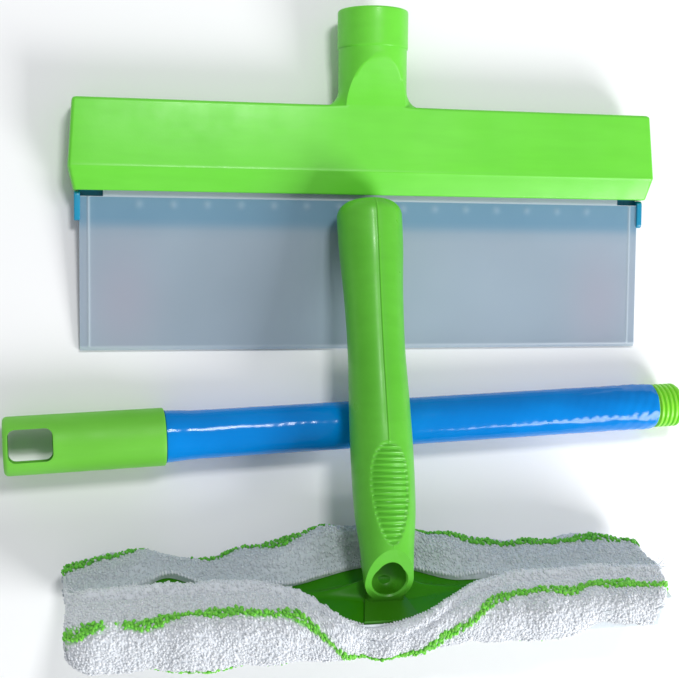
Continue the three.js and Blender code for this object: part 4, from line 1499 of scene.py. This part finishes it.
@dataclass
class WashingSleeve:
    """The terry sleeve: a thick cloth wrapped round the bar, its two hems facing on the top.

    A point of the cloth is given by x along the bar and by v, from 0 at the front hem, round the
    front edge and the underside, to 1 at the back hem.
    """

    place: Place
    half_length: float = 136.0
    half_width: float = 28.8
    top: float = 5.6
    bottom: float = -19.6
    corner: float = 9.0
    hem_thickness: float = 2.0
    pocket_half_length: float = 127.3
    pocket_half_width: float = 25.3
    pocket_top: float = 0.3
    pocket_bottom: float = -9.3
    shift: float = -1.5
    stripe_at: float = 20.0
    stripe_pitch: float = 33.0
    stripe_half: float = 2.3
    loop_spacing: float = 1.3
    rows: int = 170
    columns: int = 96

    def front_hem(self, x: Array) -> Array:
        """How far the front hem lies from the middle: over the bar's front edge at the handle.

        Args:
            x: where the hem is met along the bar.

        Returns:
            Its distance along the cloth.
        """
        away = np.where(x < -7, (-7 - x) / 46, (x + 7) / 80)
        dip = np.cos(np.clip(away, 0, 1) * math.pi / 2) ** 2.6
        return -1.5 + 31.0 * dip - 4.0 * hump((x + 84) / 22)

    def back_hem(self, x: Array) -> Array:
        """How far the back hem lies from the middle: further back behind the handle.

        Args:
            x: where the hem is met along the bar.

        Returns:
            Its distance along the cloth.
        """
        away = np.where(x < 5, (5 - x) / 52, (x - 5) / 34)
        dip = np.cos(np.clip(away, 0, 1) * math.pi / 2) ** 1.7
        return 2.0 + 13.0 * dip + 4.0 * hump((x + 84) / 22) + 8.0 * hump((x + 93) / 10)

    def heights(self, x: Array) -> tuple:
        """The section's sides, drawn in at the two ends and swelling behind the handle.

        Args:
            x: where the section lies along the bar.

        Returns:
            The top of the front and of the back, the underside, and the front and back faces.
        """
        left, right = x + self.half_length, self.half_length - x
        top = self.top - 3.5 * drawn_in(left, 12) - 3.5 * drawn_in(right, 12)
        swell = 3.0 * hump((x + 104) / 13) - 3.2 * hump((x + 78) / 15) + 13.0 * hump((x + 5) / 41)
        back_top = self.top + swell - 4.5 * drawn_in(left, 20) - 6.0 * drawn_in(right, 30)
        bottom = (self.bottom + 5.0 * eased((x + 5) / 45) + 3.2 * eased((x - 70) / 35)
                  + 9.0 * drawn_in(left, 16) + 7.5 * drawn_in(right, 15))
        front = (-self.half_width + 6 * drawn_in(left, 10) + 2.2 * eased((x - 70) / 35)
                 + 20 * drawn_in(right, 18))
        back = self.half_width - 5 * drawn_in(left, 10) - 3 * drawn_in(right, 12)
        return top, back_top, bottom, front, back

    def around(self, x: Array, v: Array) -> tuple:
        """A point on the plain section, its outward direction, and how far off each hem it is.

        The section runs straight from the middle of the top to the front, round a quarter circle,
        down, round, along the underside, round, up the back, round, and straight to the back hem.
        The cloth starts on it where the front hem lies.

        Args:
            x: where the point lies along the bar.
            v: its share of the cloth.

        Returns:
            Y, Z, the direction's Y and Z, and the distances to the front and the back hem.
        """
        top, back_top, bottom, front, back = self.heights(x)
        r = np.minimum(self.corner, (top - bottom) / 2.2)
        quarter = r * math.pi / 2
        lengths = [-front - r, quarter, top - bottom - 2 * r, quarter, back - front - 2 * r, quarter,
                   back_top - bottom - 2 * r, quarter,
                   np.maximum(back - r - self.back_hem(x), 0.5)]
        ends = np.cumsum(lengths, axis=0)
        start = self.front_hem(x)
        s = start + v * (ends[-1] - start)
        part = sum((s > end).astype(int) for end in ends[:-1])
        starts = np.concatenate([np.zeros((1,) + x.shape), ends[:-1]])
        d = s - np.take_along_axis(starts, part[None], axis=0)[0]
        sin, cos = np.sin(d / r), np.cos(d / r)
        one, nil = np.ones_like(x), np.zeros_like(x)
        y = np.choose(part, [-d, front + r - r * sin, front, front + r - r * cos, front + r + d,
                             back - r + r * sin, back, back - r + r * cos, back - r - d])
        z = np.choose(part, [top, top - r + r * cos, top - r - d, bottom + r - r * sin, bottom,
                             bottom + r - r * cos, bottom + r + d, back_top - r + r * sin, back_top])
        ny = np.choose(part, [nil, -sin, -one, -cos, nil, sin, one, cos, nil])
        nz = np.choose(part, [one, cos, nil, -sin, -one, -cos, nil, sin, one])
        return y, z, ny, nz, s - start, ends[-1] - s

    def outer(self, x: Array, v: Array) -> Array:
        """The outer face: the plain section, thinned towards the hems, rolled, rippled and rested.

        Each offset lies along the section's outward direction. Thinning is an eased step over the
        first stretch from a hem, a roll is a bell near the hem, and ripples are sines.

        Args:
            x: where the point lies along the bar.
            v: its share of the cloth.

        Returns:
            The points.
        """
        y, z, ny, nz, front, back = self.around(x, v)
        top, back_top, *_ = self.heights(x)
        inside = eased((self.half_length - np.abs(x)) / 12)
        gape = hump((x + 8) / 48)
        off = -(top - self.hem_thickness - 2.2 * (1 - gape)) * (1 - eased(front / 9))
        off -= (back_top - self.hem_thickness - 1.2 * (1 - gape)) * (1 - eased(
            back / (11 + 5 * gape)))
        off += inside * (2.6 * hump((front - 3.4) / 2.4) - 1.5 * hump((front - 8.2) / 1.5)
                         + 0.5 * hump((back - 2.4) / 1.8) - 0.3 * hump((back - 6) / 1.6))
        waves = (0.55 * np.sin(x / 11.0 + 5 * v) + 0.45 * np.sin(x / 5.3 - 9 * v + 1.3)
                 + 0.35 * np.sin(x / 3.1 + 17 * v))
        pleats = 0.35 * np.sin(x / 0.75) * hump((front - 3.2) / 2.6)
        tufts = 0.32 * np.sin(x / 0.83 + 3 * np.sin(v * 60)) * np.sin(v * 118 + 2 * np.sin(x / 4))
        bunch = 0.9 * np.sin(x / 3.2 + 2.0) * hump((x + 10) / 28) * hump((front - 14) / 8)
        off += (waves + pleats + tufts + bunch) * inside
        y, z = y + off * ny, z + off * nz
        y = y + 0.6 * np.sin(x / 8.7 + 2.1) * inside
        x = x + self.shift + 0.9 * np.sin(y / 6.5 + 1.0) * (1 - inside)
        return self.rested(np.stack([x, y, z], axis=-1), 1.6)

    def rested(self, points: Array, least: float) -> Array:
        """Lifts whatever would sink into the bench to that many millimetres above it.

        The height of a point is h; what is below the least height is squashed to it, eased by a
        root: (h + least + root of ((h - least) squared + 0.3)) / 2.

        Args:
            points: in the washer's own axes.
            least: the least height above the bench.

        Returns:
            The lifted points.
        """
        up = self.place.axes[:, 2]
        height = self.place.origin[2] / MM + points @ up
        held = (height + least + np.sqrt((height - least) ** 2 + 0.3)) / 2
        near = eased((least + 5 - height) / 4)
        return points + ((held - height) * near)[..., None] * up

    def inner(self, x: Array, w: Array) -> Array:
        """The pocket's face, with w from 0 at the back hem round the bar to 1 at the front hem.

        Corner points are joined by straight runs, and past the bar's ends they close to a line.

        Args:
            x: where the point lies along the bar.
            w: its share of the pocket's face.

        Returns:
            The points.
        """
        shut = eased((np.abs(x) - self.pocket_half_length) / 5)
        top, _, bottom, _, _ = self.heights(x)
        middle = (top + bottom) / 2
        half = self.pocket_half_width * (1 - 0.35 * shut)
        high = self.pocket_top + (middle + 0.2 - self.pocket_top) * shut
        low = self.pocket_bottom + (middle - 0.2 - self.pocket_bottom) * shut
        ys = np.stack([np.minimum(self.back_hem(x), half - 1), half, half, -half, -half,
                       np.maximum(-self.front_hem(x), -half + 0.3)])
        zs = np.stack([high, high, low, low, high, high])
        t = np.clip(w * 5, 0, 4.9999)
        i = t.astype(int)
        f = t - i
        y0, y1 = (np.take_along_axis(ys, (i + k)[None], axis=0)[0] for k in (0, 1))
        z0, z1 = (np.take_along_axis(zs, (i + k)[None], axis=0)[0] for k in (0, 1))
        return np.stack([x + self.shift, y0 + (y1 - y0) * f, z0 + (z1 - z0) * f], axis=-1)

    def stripe(self, x: Array, v: Array) -> Array:
        """How green the cloth is: 1 in the middle of a stripe, whose edges waver and break up.

        The stripes are even, counted from the nearer hem.

        Args:
            x: where the point lies along the bar.
            v: its share of the cloth.

        Returns:
            The green share, from 0 to 1.
        """
        *_, front, back = self.around(x, v)
        s = np.minimum(front + 0.045 * x, back + 1.0) - self.stripe_at
        s = s + 0.9 * np.sin(x / 7.3) + 0.6 * np.sin(x / 3.7 + 1.0)
        off = np.abs((s + self.stripe_pitch / 2) % self.stripe_pitch - self.stripe_pitch / 2)
        thin = 0.8 * np.sin(x / 4.9 + 0.6) + np.where(
            front < back, 1.3 * hump((x + 118) / 3.5) + hump((x - 14) / 4), 1.6 * hump((x + 86) / 24))
        return eased((self.stripe_half - thin - off) / 1.6 + 0.5)

    def cloth(self) -> bpy.types.Object:
        """The thick cloth itself: outer face, the two hems' edges and the pocket's face."""
        crowding = 0.35  # share of a sine, which sets the rows closer at the two ends
        even = np.linspace(-1, 1, self.rows) * self.half_length
        crowded = self.half_length * np.sin(np.linspace(-math.pi / 2, math.pi / 2, self.rows))
        x = crowded * crowding + even * (1 - crowding)
        v = np.linspace(0, 1, self.columns)
        gx, gv = np.meshgrid(x, v, indexing="ij")
        outer = self.outer(gx, gv)
        inner = self.inner(gx, gv)
        rings = np.concatenate([outer, inner], axis=1)
        surface = swept(rings, Cap.OPEN, Cap.OPEN)
        columns = 2 * self.columns
        k = np.arange(self.columns - 1)
        start = np.stack([k, columns - 1 - k, columns - 2 - k, k + 1], axis=1)
        end = (start + (self.rows - 1) * columns)[:, ::-1]
        faces = np.concatenate([ring_quads(self.rows, columns), start, end])
        surface = Surface(surface.points, faces).outward()
        piece = build("washing_sleeve_cloth", surface, self.place, 60.0)
        numbered(piece, "stripe", np.concatenate(
            [self.stripe(gx, gv), np.zeros_like(gv)], axis=1))
        # Painted shade: the outer face darkens over its back half, and the pocket's face is darker
        # still.
        numbered(piece, "shade", np.concatenate([0.8 - 0.7 * eased((gv - 0.55) / 0.2),
                                                 np.full(gv.shape, 0.2)], axis=1))
        return piece

    def cloth_width(self) -> float:
        """The cloth's width from hem to hem, taken a little way from the handle."""
        *_, front, back = self.around(np.array([60.0]), np.array([0.5]))
        return float(front[0] + back[0])

    def frames(self, x: Array, v: Array) -> tuple:
        """Places and directions on the outer face, from small steps to either side.

        Args:
            x: where each point lies along the bar.
            v: its share of the cloth.

        Returns:
            The points, and unit vectors along the bar, across it and out of the cloth.
        """
        here = self.outer(x, v)
        dx, dv = 0.4, 0.003
        inner_x = np.clip(x, -self.half_length + dx, self.half_length - dx)
        along = unit(self.outer(inner_x + dx, v) - self.outer(inner_x - dx, v))
        across = unit(self.outer(inner_x, np.clip(v + dv, 0, 1))
                      - self.outer(inner_x, np.clip(v - dv, 0, 1)))
        out = unit(np.cross(across, along))
        return here, along, across, out

    def pile(self, name: str, low: float, high: float, rng: np.random.Generator) -> bpy.types.Object:
        """The loops of one stretch of the cloth, as small grains that stand out of it.

        They lie on a jittered grid. Each is turned at random, leans over, and is larger and
        greener in a stripe.

        Args:
            name: the piece's name.
            low: the stretch's first share of the cloth.
            high: its last share.
            rng: the seeded source of every random draw.

        Returns:
            The piece.
        """
        step, width = self.loop_spacing, self.cloth_width()
        x = np.arange(-self.half_length + 0.3, self.half_length, step)
        v = np.arange(low, high, step / width)
        gx, gv = (g.ravel() for g in np.meshgrid(x, v, indexing="ij"))
        gx = np.clip(gx + rng.uniform(-0.45, 0.45, gx.shape) * step, -self.half_length,
                     self.half_length)
        gv = np.clip(gv + rng.uniform(-0.45, 0.45, gv.shape) * step / width, 0.004, 0.996)
        here, along, across, out = self.frames(gx, gv)
        green = self.stripe(gx, gv) * 0.84 > rng.uniform(0.2, 1.0, gx.shape)
        turn = rng.uniform(-0.9, 0.9, gx.shape) + np.where(rng.random(gx.shape) < 0.25, 1.4, 0.0)
        lie = np.cos(turn)[:, None] * across + np.sin(turn)[:, None] * along
        side = np.cos(turn)[:, None] * along - np.sin(turn)[:, None] * across
        upright = unit(out + rng.uniform(-0.25, 0.25, (len(gx), 1)) * lie)
        near_hem = np.minimum(gv, 1 - gv) * width < 5.0
        size = (rng.uniform(0.8, 1.25, gx.shape) * np.where(green, 1.2, 1.0)
                * np.where(near_hem, 0.75, 1.0))[:, None]
        surface = beads(here + out * np.where(green, 0.5, 0.1)[:, None], lie * 0.95 * size,
                        side * 0.6 * size, upright * np.where(green, 0.8, 0.5)[:, None] * size)
        surface.points = self.rested(surface.points, 0.15)
        piece = build(name, surface, self.place, 80.0)
        numbered(piece, "stripe", np.repeat(green.astype(float), 12))
        # Painted shade that darkens the grains over the back half of the cloth; the uniform draw is
        # random tone.
        back_painted_shade = 0.75 * eased((gv - 0.55) / 0.2)
        numbered(piece, "shade", np.repeat(rng.uniform(0.0, 0.35, gx.shape) + np.where(
            green, 0.55 * (1 - back_painted_shade), 0.65 - back_painted_shade), 12))
        return piece

    def stitches(self, rng: np.random.Generator) -> bpy.types.Object:
        """The overlocked edge of each hem: a row of short thread loops across it.

        Args:
            rng: the seeded source of every random draw.

        Returns:
            The piece.
        """
        x = np.arange(-self.half_length + 4, self.half_length - 4, 1.35)
        parts = []
        for v in (0.006, 0.994):
            here, along, across, out = self.frames(x, np.full(x.shape, v))
            size = rng.uniform(0.85, 1.15, (len(x), 1))
            towards = across * (-1 if v < 0.5 else 1)
            parts.append(beads(here + towards * 0.7 + out * 0.1, (towards * 1.1 - out * 0.5) * size,
                               along * 0.48 * size, out * 0.6 * size))
        piece = build("hem_stitches", Surface.joined(*parts), self.place, 80.0)
        count = len(piece.data.vertices)
        numbered(piece, "stripe", np.zeros(count))
        numbered(piece, "shade", np.repeat(rng.uniform(0.3, 0.9, count // 12), 12))
        return piece

    def threads(self, rng: np.random.Generator) -> bpy.types.Object:
        """Loose thread ends where the seam is cut at each end of the sleeve.

        Args:
            rng: the seeded source of every random draw.

        Returns:
            The piece.
        """
        parts = []
        t = np.linspace(0, 1, 9)[:, None]
        for end in (-1, 1):
            for _ in range(9):
                x = np.array([end * (self.half_length - 3)])
                root, _, across, out = self.frames(x, np.array([rng.uniform(0.0, 0.05)]))
                reach = np.array([end * rng.uniform(1, 5), rng.uniform(-5, 3), rng.uniform(1, 5)])
                sag = np.array([0, rng.uniform(-3, 3), rng.uniform(-2, 2)])
                parts.append(tube(root + reach * t + sag * t * (1 - t) * 2, 0.16, 6))
        piece = build("loose_threads", Surface.joined(*parts), self.place, 80.0)
        numbered(piece, "stripe", np.zeros(len(piece.data.vertices)))
        numbered(piece, "shade", np.full(len(piece.data.vertices), 0.7))
        return piece

    def make(self) -> None:
        rng = np.random.default_rng(SEED)
        cloth = self.cloth()
        edges = np.linspace(0.004, 0.996, 6)
        trims = [self.pile(f"terry_pile_{i}", edges[i], edges[i + 1], rng) for i in range(5)]
        trims += [self.stitches(rng), self.threads(rng)]
        finish = Terry()
        settle(cloth, finish, "washer", "terry", "washing_sleeve")
        for trim in trims:
            settle(trim, finish, "washer", "terry")


# --- Bench, lights and camera -------------------------------------------------------------------

class Studio:
    """The pale bench, soft lights and the camera above the set."""

    CAMERA_AT = (-0.14304, -0.02980, 0.59568)
    CAMERA_TURN = (2.459, -12.869, -0.915)  # degrees about X, Y and Z
    CAMERA_LENS = 68.47  # millimetres
    SENSOR = 36.0  # millimetres
    SKY = (0.94, 0.97, 1.0, 1.0)
    SKY_STRENGTH = 0.42

    def camera(self) -> None:
        """A camera that looks down and to the right, from the left of the set."""
        lens = bpy.data.cameras.new("camera")
        lens.lens = self.CAMERA_LENS
        lens.sensor_width = self.SENSOR
        camera = bpy.data.objects.new("camera", lens)
        camera.location = self.CAMERA_AT
        camera.rotation_euler = tuple(math.radians(a) for a in self.CAMERA_TURN)
        bpy.context.scene.collection.objects.link(camera)
        bpy.context.scene.camera = camera

    def bench(self) -> None:
        """A large plain surface at the height the set stands on."""
        size = 3000.0
        corners = np.array([[-size, -size, 0], [size, -size, 0], [size, size, 0], [-size, size, 0]])
        ground = Place(np.array([0.0, 0.0, CAD_BOX[0][2]]), np.eye(3))
        floor = build("bench", Surface(corners, np.array([[0, 1, 2, 3]])), ground)
        floor.data.materials.append(Bench().material())

    def light(self, name: str, at: tuple, target: tuple, size: float, power: float) -> None:
        """A square soft light that faces a point.

        Args:
            name: the light's name.
            at: where it stands, in metres.
            target: the point it faces.
            size: the length of its side, in metres.
            power: in watts.
        """
        lamp = bpy.data.lights.new(name, "AREA")
        lamp.shape = "SQUARE"
        lamp.size = size
        lamp.energy = power
        holder = bpy.data.objects.new(name, lamp)
        holder.location = at
        back = unit(np.array(at) - np.array(target))
        side = unit(np.cross([0.0, 1.0, 0.05], back))
        up = np.cross(back, side)
        axes = Matrix(np.stack([side, up, back], axis=1).tolist())
        holder.rotation_euler = axes.to_euler()
        bpy.context.scene.collection.objects.link(holder)

    def make(self) -> None:
        """Sets the whole studio up."""
        self.camera()
        self.bench()
        world = bpy.data.worlds.new("studio")
        world.use_nodes = True
        sky = world.node_tree.nodes["Background"]
        sky.inputs["Color"].default_value = self.SKY
        sky.inputs["Strength"].default_value = self.SKY_STRENGTH
        bpy.context.scene.world = world
        bpy.context.scene.view_settings.view_transform = "Standard"
        self.light("key", (0.75, -0.80, 0.62), (0.0, 0.0, 0.0), 0.5, 13.5)
        self.light("overhead", (0.07, 0.44, 1.05), (0.0, 0.0, 0.0), 0.2, 5.0)


def main() -> None:
    """Builds the studio and the three items, in order."""
    logging.basicConfig(level=logging.INFO, format="%(message)s")
    Studio().make()
    SqueegeeHead(Place.from_mount("socket_rim", np.array([13.3, 157.5, 0.0]), y=1.0)).make()
    Pole(Place.from_mount("thread_end", np.array([321.8, 0.0, 0.0]), x=1.0)).make()
    washer = Place.from_mount("eye_face", np.array([0.0, -11.5, 3.1]), y=-1.0)
    WasherHandle(washer).make()
    WasherBar(washer).make()
    WashingSleeve(washer).make()


if __name__ == "__main__":
    main()
